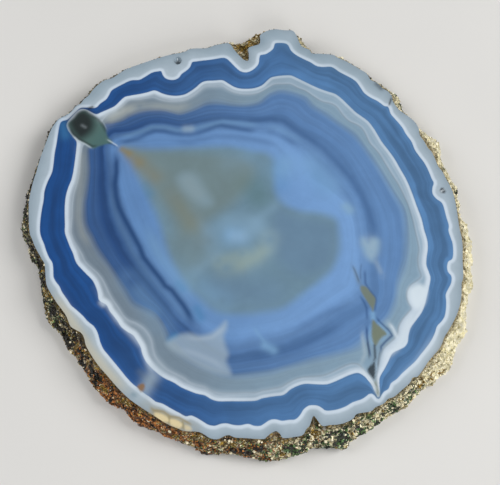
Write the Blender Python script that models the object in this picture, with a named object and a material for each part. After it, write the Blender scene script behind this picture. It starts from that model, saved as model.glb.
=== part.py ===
"""Agate slice: a flat slab of banded agate, sawn and polished on both faces, with its rough rind
left on all round. The stone lies on its sawn underside, the polished face up."""

import math

import bmesh
import bpy
import numpy as np
from mathutils import Vector, geometry, noise

# Driving dimensions, in metres
MM = 0.001
THICKNESS = 6.0 * MM
SEGMENTS = 340
ROW_HEIGHTS = (1.0, 0.89, 0.75, 0.6, 0.45, 0.3, 0.14, 0.0)
FACE_GRID = 6.0 * MM
GRID_CLEARANCE = 0.55

# The outlines below are measured from a point near the middle of the polished face. The origin
# of the finished stone is the centre of its footprint, on the underside.
OUTLINE_TO_ORIGIN = (1.02, -5.18)

# Rough rind, in millimetres: how far its broad swells and its crystal facets stand out
SWELL_MM = 0.75
SWELL_PITCH = 7.0
FACET_PITCH = 3.0
FACET_TILT = 0.5
FACET_STEP = 0.55
FACET_SLOPE_SEEDS = ((31.7, 4.1, 9.3), (2.9, 57.3, 14.8), (71.2, 23.6, 5.4))
FACET_SLOPE_RATE = 7.3
FACET_STEP_RATE = 3.7
HEIGHT_STRETCH = 1.6
ROUGHNESS_FADE = 1.9
SHELF_WAVER_MM = 0.9
SHELF_WAVER_RATE = 0.11
SHELF_SHARE = 0.8
FLARE_POWER = 1.25
BOTTOM_ROUGHNESS = 0.45
MEAN_SINK = 0.35
BEARING_SPREAD = 7
BEARING_CENTRE = (0.0, 5.0)

# Edge of the polished face, clockwise from the left, in millimetres
RIM = (
    (-50, 10), (-49.6, 14), (-49, 17), (-48.4, 20.4), (-47.5, 24), (-46.7, 27.2), (-46.1, 28.8),
    (-45.4, 30), (-44.8, 30.8), (-43.4, 31.6), (-42, 32.7), (-41.2, 34), (-40, 34.8),
    (-39.4, 35.8), (-38.2, 37), (-37.4, 38.4), (-36.4, 39.6), (-34.8, 41), (-33, 41.6),
    (-31.4, 42.8), (-29.8, 44), (-28, 44.8), (-24, 46.4), (-20, 47.8), (-16, 48.8),
    (-14.8, 49.5), (-13.2, 49.8), (-10.8, 49.8), (-9.6, 50.2), (-8, 50.8), (-5.2, 51.2),
    (-3.8, 49.4), (-2.6, 47.8), (-1.4, 46.6), (-0.4, 46.4), (-0.3, 48), (-0.4, 49.8),
    (0.6, 50.4), (2.2, 51), (2.5, 52.2), (2.4, 53.4), (3.2, 54.2), (4.4, 54.8), (6.2, 55.2),
    (8.4, 54.9), (10, 54.9), (10.8, 54.4), (11.6, 52.8), (12, 51.4), (12.8, 50.2),
    (14.4, 49.4), (15, 48.4), (16.8, 48.3), (20, 48), (21.2, 47.2), (23.2, 46.2), (25, 45),
    (26.4, 44), (28, 42.8), (28.8, 41.2), (30.4, 40.2), (31.6, 38.8), (32.8, 38),
    (33.6, 36.8), (33.8, 35.4), (34.4, 34.2), (35.2, 33), (36.4, 32), (37.8, 30.8),
    (38.8, 29.6), (39.4, 28.2), (39.6, 26.4), (40.6, 24.6), (41.2, 23.2), (42, 22.2),
    (42.6, 20.6), (43.2, 18.6), (44.2, 17), (44.8, 15.4), (45.6, 13.6), (46.2, 11.4),
    (46.6, 8), (46.8, 4), (47.2, 0), (46.9, -4), (46.7, -8), (46.2, -9.6), (45.8, -13),
    (44.6, -16.4), (42.6, -19.8), (41.6, -21.2), (40.8, -23), (40, -24.2), (38.8, -25.4),
    (37.4, -27), (36.4, -28.4), (35.2, -29.8), (34.2, -30), (33.4, -31.2), (32, -32.4),
    (30, -34), (28.8, -34.4), (27.8, -35.4), (26, -36.2), (25, -37), (22.2, -37.5),
    (21.4, -38.4), (20.4, -39), (18.6, -39.6), (16.4, -39.8), (15, -40), (14.2, -39.2),
    (13.2, -37.9), (12.7, -38.8), (12.3, -39.9), (11.6, -40.6), (10.8, -41.8), (9, -42.2),
    (6.8, -42.4), (6.2, -41.6), (5.4, -41), (4.4, -41.4), (3.6, -42), (2.6, -42.6),
    (-1, -42.4), (-3, -42.3), (-4.6, -41.8), (-6.6, -42.6), (-8.2, -42.4), (-10.4, -41.2),
    (-13.4, -41), (-15, -40.4), (-17, -39.6), (-20, -37.8), (-22.6, -36.2), (-25.2, -34.4),
    (-27.8, -32), (-30, -29.6), (-32.2, -27.2), (-34.2, -24.4), (-35, -23), (-35.4, -21.6),
    (-36.2, -20.4), (-38.3, -19.2), (-39, -18), (-39.8, -16.4), (-42, -13.6), (-44, -10.6),
    (-44.6, -9), (-45.2, -5.2), (-46, -3.8), (-47.8, -0.8), (-48.4, 0.6), (-49.2, 2.4),
    (-49.7, 6),
)

# Edge of the underside, where the flared rind ends, clockwise from the left, in millimetres
FOOT = (
    (-52.4, 10.4), (-52, 13), (-51.2, 16), (-50.2, 20), (-49.2, 24), (-48, 28), (-46, 31.6),
    (-43.8, 34.2), (-41.4, 36.8), (-39, 39.8), (-35.6, 42.8), (-31.6, 45), (-28, 46.8),
    (-24, 48.4), (-20, 49.8), (-16, 51), (-12, 52), (-8, 52.8), (-4, 53.2), (0, 54),
    (2, 55.4), (4.4, 56.4), (8.4, 56.6), (11.4, 55.8), (13.4, 53.2), (15.6, 50.8), (19, 50),
    (22, 49), (26, 46.8), (29, 44.2), (31.6, 42.4), (33.6, 40.8), (35.2, 39.6), (36.8, 37.6),
    (37.6, 34.6), (39.2, 31), (40.4, 29.8), (42.5, 27.8), (44.1, 25.8), (44.7, 24.2),
    (44.9, 22), (45.9, 18.9), (46.9, 15.9), (47.7, 13.9), (48, 10.8), (48.4, 6.8),
    (49.7, 4.8), (50.1, 2.1), (50.2, -0.3), (50.2, -3.3), (49.9, -6.4), (49.5, -9),
    (48.7, -11), (48.2, -13.6), (47.6, -16.3), (46.7, -18.8), (45.7, -20.9), (43.3, -26.3),
    (42.3, -28), (40.8, -29), (38.7, -30.7), (37.3, -31.9), (35.8, -33.3), (33.8, -35.2), (31.5, -36.7),
    (29, -38.3), (26.9, -39.6), (24.9, -40.8), (22.8, -41.8), (20.7, -43.1), (18.8, -44.1),
    (14.5, -44.1), (12.4, -44.4), (11.4, -44.9), (9.3, -45.6), (7.2, -46.2), (2.1, -46.2),
    (0.4, -45.8), (-2.1, -45.4), (-8.3, -45), (-11.2, -43.9), (-14.5, -42.9), (-18.6, -41),
    (-22.8, -39.6), (-24.9, -38.3), (-28, -35.4), (-31.5, -32.9), (-33.1, -31.1),
    (-35, -29.2), (-36.2, -27.3), (-37.7, -25.5), (-39.4, -24), (-41, -20.3), (-42.5, -18.8),
    (-43.9, -17.6), (-44.9, -16.2), (-45.6, -14.1), (-46, -12), (-47, -8.3), (-47.9, -6.2),
    (-48.3, -4.4), (-49.5, -2.9), (-50.5, -1.2), (-50.7, 0.6), (-51.8, 2.1), (-52.4, 3.5),
    (-52.5, 6.2),
)

# Rocky shelves: where on the outline, how wide, and how high up the wall the shelf stands (mm)
SHELVES = (
    ((0, 51), 4.5, 4.9),
    ((13.2, -40), 2.6, 4.4),
    ((5.4, -42), 3.2, 5.0),
    ((-20, -38), 6.0, 3.6),
    ((24, -38), 5.0, 3.2),
    ((42, 22), 10.0, 4.6),
    ((47, 2), 10.0, 4.6),
    ((46, -11), 8.0, 4.0),
    ((-46, -6), 7.0, 3.0),
    ((-36, -24), 6.0, 2.4),
)
PLAIN_SHELF = 3.0

# Open pit in the polished face: centre, half width, half length and depth, in millimetres
PIT_CENTRE = (-17.4, 46.4)
PIT_HALF = (0.9, 1.1)
PIT_DEPTH = 1.0
PIT_SIDES = 10
PIT_RINGS = ((1.0, 0.0), (0.6, 0.75))

CURVE_STEPS = 8
ROW_SPACING = 0.87
MERGE_WITHIN = 1e-5

STONE_COLOUR = (0.16, 0.28, 0.45, 1.0)
STONE_ROUGHNESS = 0.18


def clear_scene():
    for obj in list(bpy.data.objects):
        bpy.data.objects.remove(obj, do_unlink=True)


def closed_curve(points, count):
    """Evenly spaced points along the smooth closed curve through the given ones."""
    knots = np.array(points, float)
    before = np.roll(knots, 1, axis=0)
    after = np.roll(knots, -1, axis=0)
    beyond = np.roll(knots, -2, axis=0)
    dense = []
    for step in np.linspace(0.0, 1.0, CURVE_STEPS, endpoint=False):
        square = step * step
        cube = square * step
        dense.append(
            0.5 * (
                2 * knots
                + (after - before) * step
                + (2 * before - 5 * knots + 4 * after - beyond) * square
                + (3 * knots - before - 3 * after + beyond) * cube
            )
        )
    dense = np.stack(dense, axis=1).reshape(-1, 2)
    ring = np.vstack([dense, dense[:1]])
    travelled = np.concatenate([[0.0], np.cumsum(np.linalg.norm(np.diff(ring, axis=0), axis=1))])
    stations = np.linspace(0.0, travelled[-1], count, endpoint=False)
    return np.stack([np.interp(stations, travelled, ring[:, axis]) for axis in (0, 1)], axis=1)


def foot_under(rim):
    """The point of the underside's edge that each rim point leads down to, on the same bearing.

    The bearings are averaged over a few neighbours, so that the foot runs straight past the
    rim's notches."""
    centre = np.array(BEARING_CENTRE)
    away = rim - centre
    bearing = np.unwrap(np.arctan2(away[:, 1], away[:, 0]))
    turn = 2 * math.pi * np.sign(bearing[-1] - bearing[0])
    wrapped = np.concatenate([bearing - turn, bearing, bearing + turn])
    window = np.ones(2 * BEARING_SPREAD + 1) / (2 * BEARING_SPREAD + 1)
    even = np.convolve(wrapped, window, mode="same")[len(rim) : 2 * len(rim)]
    edge = closed_curve(FOOT, 4 * SEGMENTS) - centre
    edge_bearing = np.arctan2(edge[:, 1], edge[:, 0])
    order = np.argsort(edge_bearing)
    reach = np.interp(
        np.mod(even + math.pi, 2 * math.pi) - math.pi,
        edge_bearing[order],
        np.linalg.norm(edge, axis=1)[order],
        period=2 * math.pi,
    )
    return centre + reach[:, None] * np.stack([np.cos(even), np.sin(even)], axis=1)


def shelf_height(x, y):
    """How high the rind's shelf stands here, in millimetres above the underside."""
    height = PLAIN_SHELF + SHELF_WAVER_MM * noise.noise(Vector((x, y, 0.0)) * SHELF_WAVER_RATE)
    for (shelf_x, shelf_y), width, level in SHELVES:
        near = math.exp(-((x - shelf_x) ** 2 + (y - shelf_y) ** 2) / width**2)
        height += (level - height) * near
    return height


def roughness(x, y, z):
    """Outward push of the rind at a point, in millimetres: broad swells and flat facets."""
    place = Vector((x, y, HEIGHT_STRETCH * z))
    push = SWELL_MM * noise.noise(place / SWELL_PITCH)
    cells = noise.voronoi(place / FACET_PITCH)[1]
    offset = place - cells[0] * FACET_PITCH
    slope = Vector([noise.noise(cells[0] * FACET_SLOPE_RATE + Vector(seed)) for seed in FACET_SLOPE_SEEDS])
    push += FACET_TILT * offset.dot(slope)
    push += FACET_STEP * noise.noise(cells[0] * FACET_STEP_RATE)
    return push - MEAN_SINK


def wall_rings():
    """Rings of points down the rind, from the polished face's edge to the underside's edge."""
    rim = closed_curve(RIM, SEGMENTS)
    foot = foot_under(rim)
    along = np.roll(foot, -1, axis=0) - np.roll(foot, 1, axis=0)
    outward = np.stack([-along[:, 1], along[:, 0]], axis=1)
    outward /= np.linalg.norm(outward, axis=1)[:, None]
    tall = THICKNESS / MM
    rings = []
    for level in ROW_HEIGHTS:
        z = level * tall
        ring = []
        for (rim_x, rim_y), (foot_x, foot_y), (out_x, out_y) in zip(rim, foot, outward):
            shelf = shelf_height(rim_x, rim_y)
            drop = (tall - z) / (tall - SHELF_SHARE * shelf)
            across = min(1.0, drop) ** FLARE_POWER
            x = rim_x + (foot_x - rim_x) * across
            y = rim_y + (foot_y - rim_y) * across
            fade = min(1.0, ROUGHNESS_FADE * (1.0 - level)) * (BOTTOM_ROUGHNESS if level == 0.0 else 1.0)
            push = fade * roughness(x, y, z)
            ring.append((x + out_x * push, y + out_y * push, z))
        rings.append(ring)
    return rings


def pit_points():
    """The pit's edge, its floor's edge and its lowest point, each with its depth."""
    points = []
    for share, sunk in PIT_RINGS:
        for side in range(PIT_SIDES):
            angle = 2 * math.pi * side / PIT_SIDES
            x = PIT_CENTRE[0] + share * PIT_HALF[0] * math.cos(angle)
            y = PIT_CENTRE[1] + share * PIT_HALF[1] * math.sin(angle)
            points.append((x, y, sunk * PIT_DEPTH))
    points.append((*PIT_CENTRE, PIT_DEPTH))
    return points


def grid_points(ring, taken):
    """Staggered points over a face, clear of its edge and of the points already taken."""
    pitch = FACE_GRID / MM
    edge = np.array([point[:2] for point in ring])
    others = np.array([point[:2] for point in taken]).reshape(-1, 2)
    low = edge.min(axis=0)
    high = edge.max(axis=0)
    points = []
    for row, y in enumerate(np.arange(low[1], high[1], pitch * ROW_SPACING)):
        for x in np.arange(low[0] + 0.5 * pitch * (row % 2), high[0], pitch):
            near_edge = np.hypot(*(edge - (x, y)).T).min()
            near_taken = np.hypot(*(others - (x, y)).T).min() if len(others) else pitch
            if min(near_edge, near_taken) < GRID_CLEARANCE * pitch or not inside(edge, x, y):
                continue
            points.append((x, y, 0.0))
    return points


def inside(outline, x, y):
    ahead = np.roll(outline, -1, axis=0)
    spans = (outline[:, 1] > y) != (ahead[:, 1] > y)
    rise = np.where(spans, ahead[:, 1] - outline[:, 1], 1.0)
    crossing = outline[:, 0] + (y - outline[:, 1]) * (ahead[:, 0] - outline[:, 0]) / rise
    return bool(np.count_nonzero(spans & (crossing > x)) % 2)


def fill_face(bm, ring, ring_verts, inner):
    """Flat face of triangles inside a ring, with the inner points sunk by their depths."""
    flat = [Vector(point[:2]) for point in ring] + [Vector(point[:2]) for point in inner]
    found = geometry.delaunay_2d_cdt(flat, [], [list(range(len(ring)))], 1, MERGE_WITHIN)
    places, _, triangles, sources = found[:4]
    level = ring[0][2]
    verts = []
    for place, source in zip(places, sources):
        index = min(source)
        if index < len(ring):
            verts.append(ring_verts[index])
            continue
        depth = inner[index - len(ring)][2]
        verts.append(bm.verts.new(stone_point(place.x, place.y, level - depth)))
    for triangle in triangles:
        bm.faces.new([verts[corner] for corner in triangle])


def stone_point(x, y, z):
    """A point in millimetres from the outlines' middle, as metres from the stone's origin."""
    return ((x + OUTLINE_TO_ORIGIN[0]) * MM, (y + OUTLINE_TO_ORIGIN[1]) * MM, z * MM)


def build_stone():
    rings = wall_rings()
    bm = bmesh.new()
    rows = [[bm.verts.new(stone_point(*point)) for point in ring] for ring in rings]
    for upper, lower in zip(rows, rows[1:]):
        for index in range(SEGMENTS):
            ahead = (index + 1) % SEGMENTS
            bm.faces.new((upper[index], upper[ahead], lower[ahead], lower[index]))
    bmesh.ops.triangulate(bm, faces=bm.faces[:], quad_method="SHORT_EDGE")
    pit = pit_points()
    fill_face(bm, rings[0], rows[0], pit + grid_points(rings[0], pit))
    fill_face(bm, rings[-1], rows[-1], grid_points(rings[-1], []))
    bmesh.ops.recalc_face_normals(bm, faces=bm.faces[:])
    mesh = bpy.data.meshes.new("agate_slice")
    bm.to_mesh(mesh)
    bm.free()
    mesh.materials.append(stone_material())
    return bpy.data.objects.new("agate_slice", mesh)


def stone_material():
    material = bpy.data.materials.new("agate")
    material.use_nodes = True
    shader = material.node_tree.nodes["Principled BSDF"]
    shader.inputs["Base Color"].default_value = STONE_COLOUR
    shader.inputs["Roughness"].default_value = STONE_ROUGHNESS
    return material


def main():
    clear_scene()
    parts = bpy.data.collections.new("agate_slice")
    bpy.context.scene.collection.children.link(parts)
    parts.objects.link(build_stone())


main()
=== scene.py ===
"""Agate slice: the banded, polished stone with its crystalline rind, dressed over its solid frame."""

import functools
import math

import bpy
import numpy as np
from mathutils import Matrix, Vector, geometry, noise


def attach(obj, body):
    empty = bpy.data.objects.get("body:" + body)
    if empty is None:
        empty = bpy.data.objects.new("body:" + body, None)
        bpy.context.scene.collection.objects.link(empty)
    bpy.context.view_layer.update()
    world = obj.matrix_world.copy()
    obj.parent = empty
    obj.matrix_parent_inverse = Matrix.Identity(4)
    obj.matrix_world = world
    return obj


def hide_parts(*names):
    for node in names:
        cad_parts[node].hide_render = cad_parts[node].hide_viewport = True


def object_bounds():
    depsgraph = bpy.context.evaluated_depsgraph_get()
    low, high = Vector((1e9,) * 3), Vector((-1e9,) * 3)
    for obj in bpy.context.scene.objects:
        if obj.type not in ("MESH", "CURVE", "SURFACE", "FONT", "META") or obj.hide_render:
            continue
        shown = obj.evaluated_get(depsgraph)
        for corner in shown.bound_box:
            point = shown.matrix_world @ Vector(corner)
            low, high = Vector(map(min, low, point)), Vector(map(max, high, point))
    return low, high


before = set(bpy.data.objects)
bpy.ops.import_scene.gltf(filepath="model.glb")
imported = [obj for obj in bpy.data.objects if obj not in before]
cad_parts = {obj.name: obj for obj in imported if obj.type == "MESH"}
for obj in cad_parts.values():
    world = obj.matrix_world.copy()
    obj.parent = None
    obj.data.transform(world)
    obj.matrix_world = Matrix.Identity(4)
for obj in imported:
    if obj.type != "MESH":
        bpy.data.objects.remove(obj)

bl_info = {
    "name": "Agate Slice",
    "version": (1, 0, 0),
    "blender": (4, 5, 0),
    "location": "3D View > Sidebar > Agate",
    "description": "Builds a polished slice of banded blue agate with its rough rind",
    "category": "Add Mesh",
}

CAD_BOX = [list(corner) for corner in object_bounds()]
MM = 0.001
# The slice's thickness, from the frame, to the nearest micron
THICKNESS = round(CAD_BOX[1][2] - CAD_BOX[0][2], 6)

# Outlines are measured in millimetres from a point near the middle of the polished face.
OUTLINE_TO_ORIGIN = (1.02, -5.18)
BEARING_CENTRE = (0.0, 5.0)

# The stone's edge: the polished face's rim and the foot of the flared rind, clockwise from the left
RIM = (
    (-50, 10), (-49.6, 14), (-49, 17), (-48.4, 20.4), (-47.5, 24), (-46.7, 27.2), (-46.1, 28.8),
    (-45.4, 30), (-44.8, 30.8), (-43.4, 31.6), (-42, 32.7), (-41.2, 34), (-40, 34.8),
    (-39.4, 35.8), (-38.2, 37), (-37.4, 38.4), (-36.4, 39.6), (-34.8, 41), (-33, 41.6),
    (-31.4, 42.8), (-29.8, 44), (-28, 44.8), (-24, 46.4), (-20, 47.8), (-16, 48.8),
    (-14.8, 49.5), (-13.2, 49.8), (-10.8, 49.8), (-9.6, 50.2), (-8, 50.8), (-5.2, 51.2),
    (-3.8, 49.4), (-2.6, 47.8), (-1.4, 46.6), (-0.4, 46.4), (-0.3, 48), (-0.4, 49.8),
    (0.6, 50.4), (2.2, 51), (2.5, 52.2), (2.4, 53.4), (3.2, 54.2), (4.4, 54.8), (6.2, 55.2),
    (8.4, 54.9), (10, 54.9), (10.8, 54.4), (11.6, 52.8), (12, 51.4), (12.8, 50.2),
    (14.4, 49.4), (15, 48.4), (16.8, 48.3), (20, 48), (21.2, 47.2), (23.2, 46.2), (25, 45),
    (26.4, 44), (28, 42.8), (28.8, 41.2), (30.4, 40.2), (31.6, 38.8), (32.8, 38),
    (33.6, 36.8), (33.8, 35.4), (34.4, 34.2), (35.2, 33), (36.4, 32), (37.8, 30.8),
    (38.8, 29.6), (39.4, 28.2), (39.6, 26.4), (40.6, 24.6), (41.2, 23.2), (42, 22.2),
    (42.6, 20.6), (43.2, 18.6), (44.2, 17), (44.8, 15.4), (45.6, 13.6), (46.2, 11.4),
    (46.6, 8), (46.8, 4), (47.2, 0), (46.9, -4), (46.7, -8), (46.2, -9.6), (45.8, -13),
    (44.6, -16.4), (42.6, -19.8), (41.6, -21.2), (40.8, -23), (40, -24.2), (38.8, -25.4),
    (37.4, -27), (36.4, -28.4), (35.2, -29.8), (34.2, -30), (33.4, -31.2), (32, -32.4),
    (30, -34), (28.8, -34.4), (27.8, -35.4), (26, -36.2), (25, -37), (22.2, -37.5),
    (21.4, -38.4), (20.4, -39), (18.6, -39.6), (16.4, -39.8), (15, -40), (14.2, -39.2),
    (13.2, -37.9), (12.7, -38.8), (12.3, -39.9), (11.6, -40.6), (10.8, -41.8), (9, -42.2),
    (6.8, -42.4), (6.2, -41.6), (5.4, -41), (4.4, -41.4), (3.6, -42), (2.6, -42.6),
    (-1, -42.4), (-3, -42.3), (-4.6, -41.8), (-6.6, -42.6), (-8.2, -42.4), (-10.4, -41.2),
    (-13.4, -41), (-15, -40.4), (-17, -39.6), (-20, -37.8), (-22.6, -36.2), (-25.2, -34.4),
    (-27.8, -32), (-30, -29.6), (-32.2, -27.2), (-34.2, -24.4), (-35, -23), (-35.4, -21.6),
    (-36.2, -20.4), (-38.3, -19.2), (-39, -18), (-39.8, -16.4), (-42, -13.6), (-44, -10.6),
    (-44.6, -9), (-45.2, -5.2), (-46, -3.8), (-47.8, -0.8), (-48.4, 0.6), (-49.2, 2.4),
    (-49.7, 6),
)
FOOT = (
    (-52.4, 10.4), (-52, 13), (-51.2, 16), (-50.2, 20), (-49.2, 24), (-48, 28), (-46, 31.6),
    (-43.8, 34.2), (-41.4, 36.8), (-39, 39.8), (-35.6, 42.8), (-31.6, 45), (-28, 46.8),
    (-24, 48.4), (-20, 49.8), (-16, 51), (-12, 52), (-8, 52.8), (-4, 53.2), (0, 54),
    (2, 55.4), (4.4, 56.4), (8.4, 56.6), (11.4, 55.8), (13.4, 53.2), (15.6, 50.8), (19, 50),
    (22, 49), (26, 46.8), (29, 44.2), (31.6, 42.4), (33.6, 40.8), (35.2, 39.6), (36.8, 37.6),
    (37.6, 34.6), (39.2, 31), (40.4, 29.8), (42.5, 27.8), (44.1, 25.8), (44.7, 24.2),
    (44.9, 22), (45.9, 18.9), (46.9, 15.9), (47.7, 13.9), (48, 10.8), (48.4, 6.8),
    (49.7, 4.8), (50.1, 2.1), (50.2, -0.3), (50.2, -3.3), (49.9, -6.4), (49.5, -9),
    (48.7, -11), (48.2, -13.6), (47.6, -16.3), (46.7, -18.8), (45.7, -20.9), (43.3, -26.3),
    (42.3, -28), (40.8, -29), (38.7, -30.7), (37.3, -31.9), (35.8, -33.3), (33.8, -35.2),
    (31.5, -36.7), (29, -38.3), (26.9, -39.6), (24.9, -40.8), (22.8, -41.8), (20.7, -43.1),
    (18.8, -44.1), (14.5, -44.1), (12.4, -44.4), (11.4, -44.9), (9.3, -45.6), (7.2, -46.2),
    (2.1, -46.2), (0.4, -45.8), (-2.1, -45.4), (-8.3, -45), (-11.2, -43.9), (-14.5, -42.9),
    (-18.6, -41), (-22.8, -39.6), (-24.9, -38.3), (-28, -35.4), (-31.5, -32.9),
    (-33.1, -31.1), (-35, -29.2), (-36.2, -27.3), (-37.7, -25.5), (-39.4, -24),
    (-41, -20.3), (-42.5, -18.8), (-43.9, -17.6), (-44.9, -16.2), (-45.6, -14.1),
    (-46, -12), (-47, -8.3), (-47.9, -6.2), (-48.3, -4.4), (-49.5, -2.9), (-50.5, -1.2),
    (-50.7, 0.6), (-51.8, 2.1), (-52.4, 3.5), (-52.5, 6.2),
)

# Where the pale rim band meets the deep blue band
BLUE_EDGE = (
    (-46.8, 10), (-46.8, 12), (-46.5, 13.8), (-46, 15.4), (-45.5, 16.8), (-45.3, 18.4),
    (-45.2, 22), (-45, 24), (-44.9, 25.6), (-44.6, 29.2), (-44, 30.2), (-42.8, 30.6),
    (-41, 32.6), (-40, 33.6), (-38.2, 33.7), (-37, 33.6), (-36.2, 33.8), (-35.4, 34.8),
    (-34.2, 35.8), (-33.6, 36.8), (-33, 38.2), (-32, 39), (-30.4, 40), (-29, 40.8),
    (-28, 41.1), (-26.4, 41.2), (-25, 42.1), (-23.4, 43.2), (-22, 43.5), (-21.3, 43.6),
    (-20.8, 42.4), (-20.2, 41.6), (-19.2, 41.2), (-18, 41.2), (-17, 41.8), (-16.4, 42.8),
    (-15.4, 43.6), (-14.5, 44.6), (-14, 46), (-13.2, 46.2), (-11.2, 46.5), (-9, 46.8),
    (-7, 47.2), (-5.8, 47.1), (-4.8, 46.2), (-3.6, 44.8), (-2.4, 43.6), (-1.2, 43.2),
    (0, 43.5), (1.2, 44.4), (2, 45.6), (2.2, 47.2), (2.5, 48), (3.6, 48.2), (4.6, 48.8),
    (5.6, 49.8), (6, 51.2), (7.2, 51.4), (8.8, 51.2), (9.5, 50.4), (10, 49.2), (11.2, 48),
    (12.8, 47), (14.6, 46), (16, 45), (17.6, 44.7), (19.2, 44.8), (20.2, 44.4),
    (21.4, 43.4), (23, 42.4), (24.6, 41.4), (25.6, 40.4), (26.4, 39), (27.2, 37.6),
    (28.6, 36.4), (30, 35.6), (31, 34.8), (31.8, 34.1), (32.6, 34), (32.9, 33.2),
    (33.2, 32), (34.2, 30.6), (35.6, 28.6), (36.4, 26.8), (37.6, 24.8), (38.2, 22.8),
    (39.2, 21), (40.2, 19.4), (41, 17.4), (41.6, 15.4), (42, 14.4), (41.6, 13.2),
    (41.5, 11.8), (42.2, 10.6), (43.4, 9.6), (43.8, 8.4), (44.2, 6), (44.6, 4),
    (44.4, 2.8), (44.8, 1), (45.1, -0.4), (45, -2.8), (44.6, -4), (43.8, -4.4),
    (43.4, -5.6), (43.5, -6.8), (44.2, -7.8), (44, -9.4), (43.2, -10.8), (42.6, -12),
    (42.6, -13.4), (42.4, -15.2), (42, -16.8), (41.2, -18), (40.2, -19), (39.6, -20.5),
    (38.8, -22), (37.6, -23.6), (36.2, -25.2), (35, -26.6), (33.4, -28), (32, -29.2),
    (30.8, -30.4), (29.6, -31.2), (29, -32.4), (28, -33), (27.4, -33.8), (26.9, -34.5),
    (26.3, -34.3), (25.8, -33.6), (25, -33.4), (24.2, -34), (23.2, -34.6), (21.4, -35.2),
    (20, -36), (18.4, -36.6), (16.8, -36.9), (15.6, -36.9), (14.8, -36.3), (14, -35.9),
    (13, -35.8), (12.2, -35.9), (11.2, -36.6), (10.4, -37.8), (9.4, -38.7), (8, -38.8),
    (6.6, -39), (5.4, -38.7), (4.2, -38.8), (3.2, -39.4), (2.2, -40), (0.8, -40),
    (-0.4, -39.6), (-2, -39.9), (-3.6, -39.8), (-4.8, -39.5), (-6, -39.6), (-7.2, -40),
    (-8.6, -39.8), (-9.8, -39.1), (-11, -38.4), (-12.2, -37.9), (-13.3, -38.1),
    (-14.6, -37.4), (-16, -36.7), (-18.2, -35.5), (-19.6, -35.1), (-20.8, -34.2),
    (-22, -33.4), (-23.2, -32.4), (-24.6, -31.4), (-26, -30), (-27.2, -28.6), (-28.6, -27),
    (-30, -25.4), (-31.2, -24), (-32, -22.4), (-32.6, -20.6), (-33.5, -19.1), (-34.9, -18),
    (-36.1, -16.7), (-37.6, -15.4), (-38.8, -14.4), (-39.8, -13), (-41, -11.4),
    (-41.6, -10.2), (-42.4, -9.2), (-43.1, -8), (-43.3, -6.4), (-43.6, -4.8),
    (-44.4, -3.6), (-45.2, -2), (-45.8, -0.4), (-46.4, 0.8), (-46.9, 2.2), (-47.1, 4),
    (-47.1, 6), (-47, 8),
)

# Where the deep blue band meets the second, white band
WHITE_EDGE = (
    (-41.7, 9), (-41.6, 11.4), (-41.2, 13.4), (-40.7, 15), (-40.4, 17), (-40.2, 20),
    (-40.1, 22.8), (-40.2, 24.8), (-41.2, 26.2), (-42.4, 27.8), (-42.8, 29.4), (-41.6, 31.4),
    (-40.2, 33), (-38.8, 33.1), (-36.8, 32), (-36, 31.8), (-34.8, 32.4), (-33.2, 33.2),
    (-31.8, 34), (-30.6, 35.4), (-29.6, 36.4), (-28, 36.8), (-26, 37.2), (-24.4, 37.6),
    (-23, 38.1), (-22.2, 38), (-20.8, 37.3), (-19, 36.8), (-17.2, 36.7), (-15.4, 37.1),
    (-14, 38), (-12.8, 39), (-11.6, 40.2), (-10.4, 40.7), (-8.6, 40.8), (-6.6, 40.9),
    (-5.2, 40), (-3.6, 39), (-2, 38.6), (0, 38.6), (1.6, 38.9), (3, 39.6), (3.8, 40.4),
    (5, 41.6), (6.4, 42), (8, 42.2), (9.8, 42.2), (11.4, 41.4), (13.2, 40.4), (15, 39.4),
    (16.6, 38.6), (18.6, 37.8), (20.2, 37.2), (21.6, 36), (23.2, 34.2), (24.8, 32.4),
    (26, 31.4), (27.6, 30), (28.8, 28.2), (29.7, 26.4), (30.6, 24.6), (32, 22.4),
    (33.2, 20.4), (34.4, 17.8), (35.6, 15.2), (36.6, 12.2), (37.6, 8.5), (38.4, 5.6),
    (38.8, 3), (39.3, 0.6), (39.3, -1.4), (38.9, -3.4), (38.7, -5.2), (39.1, -6.8),
    (39.4, -8.2), (39, -10), (38.4, -12), (37.8, -14), (37, -15.8), (35.8, -17.4),
    (34.4, -19.2), (33.8, -20.8), (33.5, -22.4), (32.8, -23.4), (31.6, -24), (30.2, -24.7),
    (29.6, -25.6), (29, -26.8), (28.2, -28.2), (27.3, -29.6), (27, -30.8), (27, -33),
    (26.8, -34.2), (26.5, -33.6), (25.8, -31.8), (24.8, -30.4), (23.8, -29.4), (22.6, -28.9),
    (21, -29.3), (19.4, -30), (17.6, -30.8), (16, -31.3), (14, -31.3), (11.6, -31.2),
    (10, -31.6), (8.4, -32.4), (7, -33.5), (5, -33.8), (2.6, -34.2), (1.2, -34.7),
    (-1, -34.8), (-4, -34.8), (-6.6, -34.8), (-8, -34.4), (-9.4, -33.6), (-11.2, -33.2),
    (-12.8, -32.6), (-14.4, -31.9), (-16, -30.9), (-17.6, -30.2), (-19.2, -29.2),
    (-20.8, -27.8), (-22, -26.4), (-22.7, -25), (-23.2, -23.4), (-24.2, -21.8),
    (-25, -20.8), (-26.2, -20.1), (-27.6, -19), (-28.4, -17.8), (-29.2, -16.8),
    (-30.2, -15.6), (-31, -14.2), (-32.6, -13.2), (-33, -11.6), (-33.6, -10),
    (-34.4, -8.6), (-35.6, -7.4), (-37, -6), (-38.2, -4.6), (-39, -2.6), (-39.8, -1),
    (-40.6, 0.8), (-41.2, 2.4), (-41.3, 4), (-41.5, 6),
)

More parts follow.
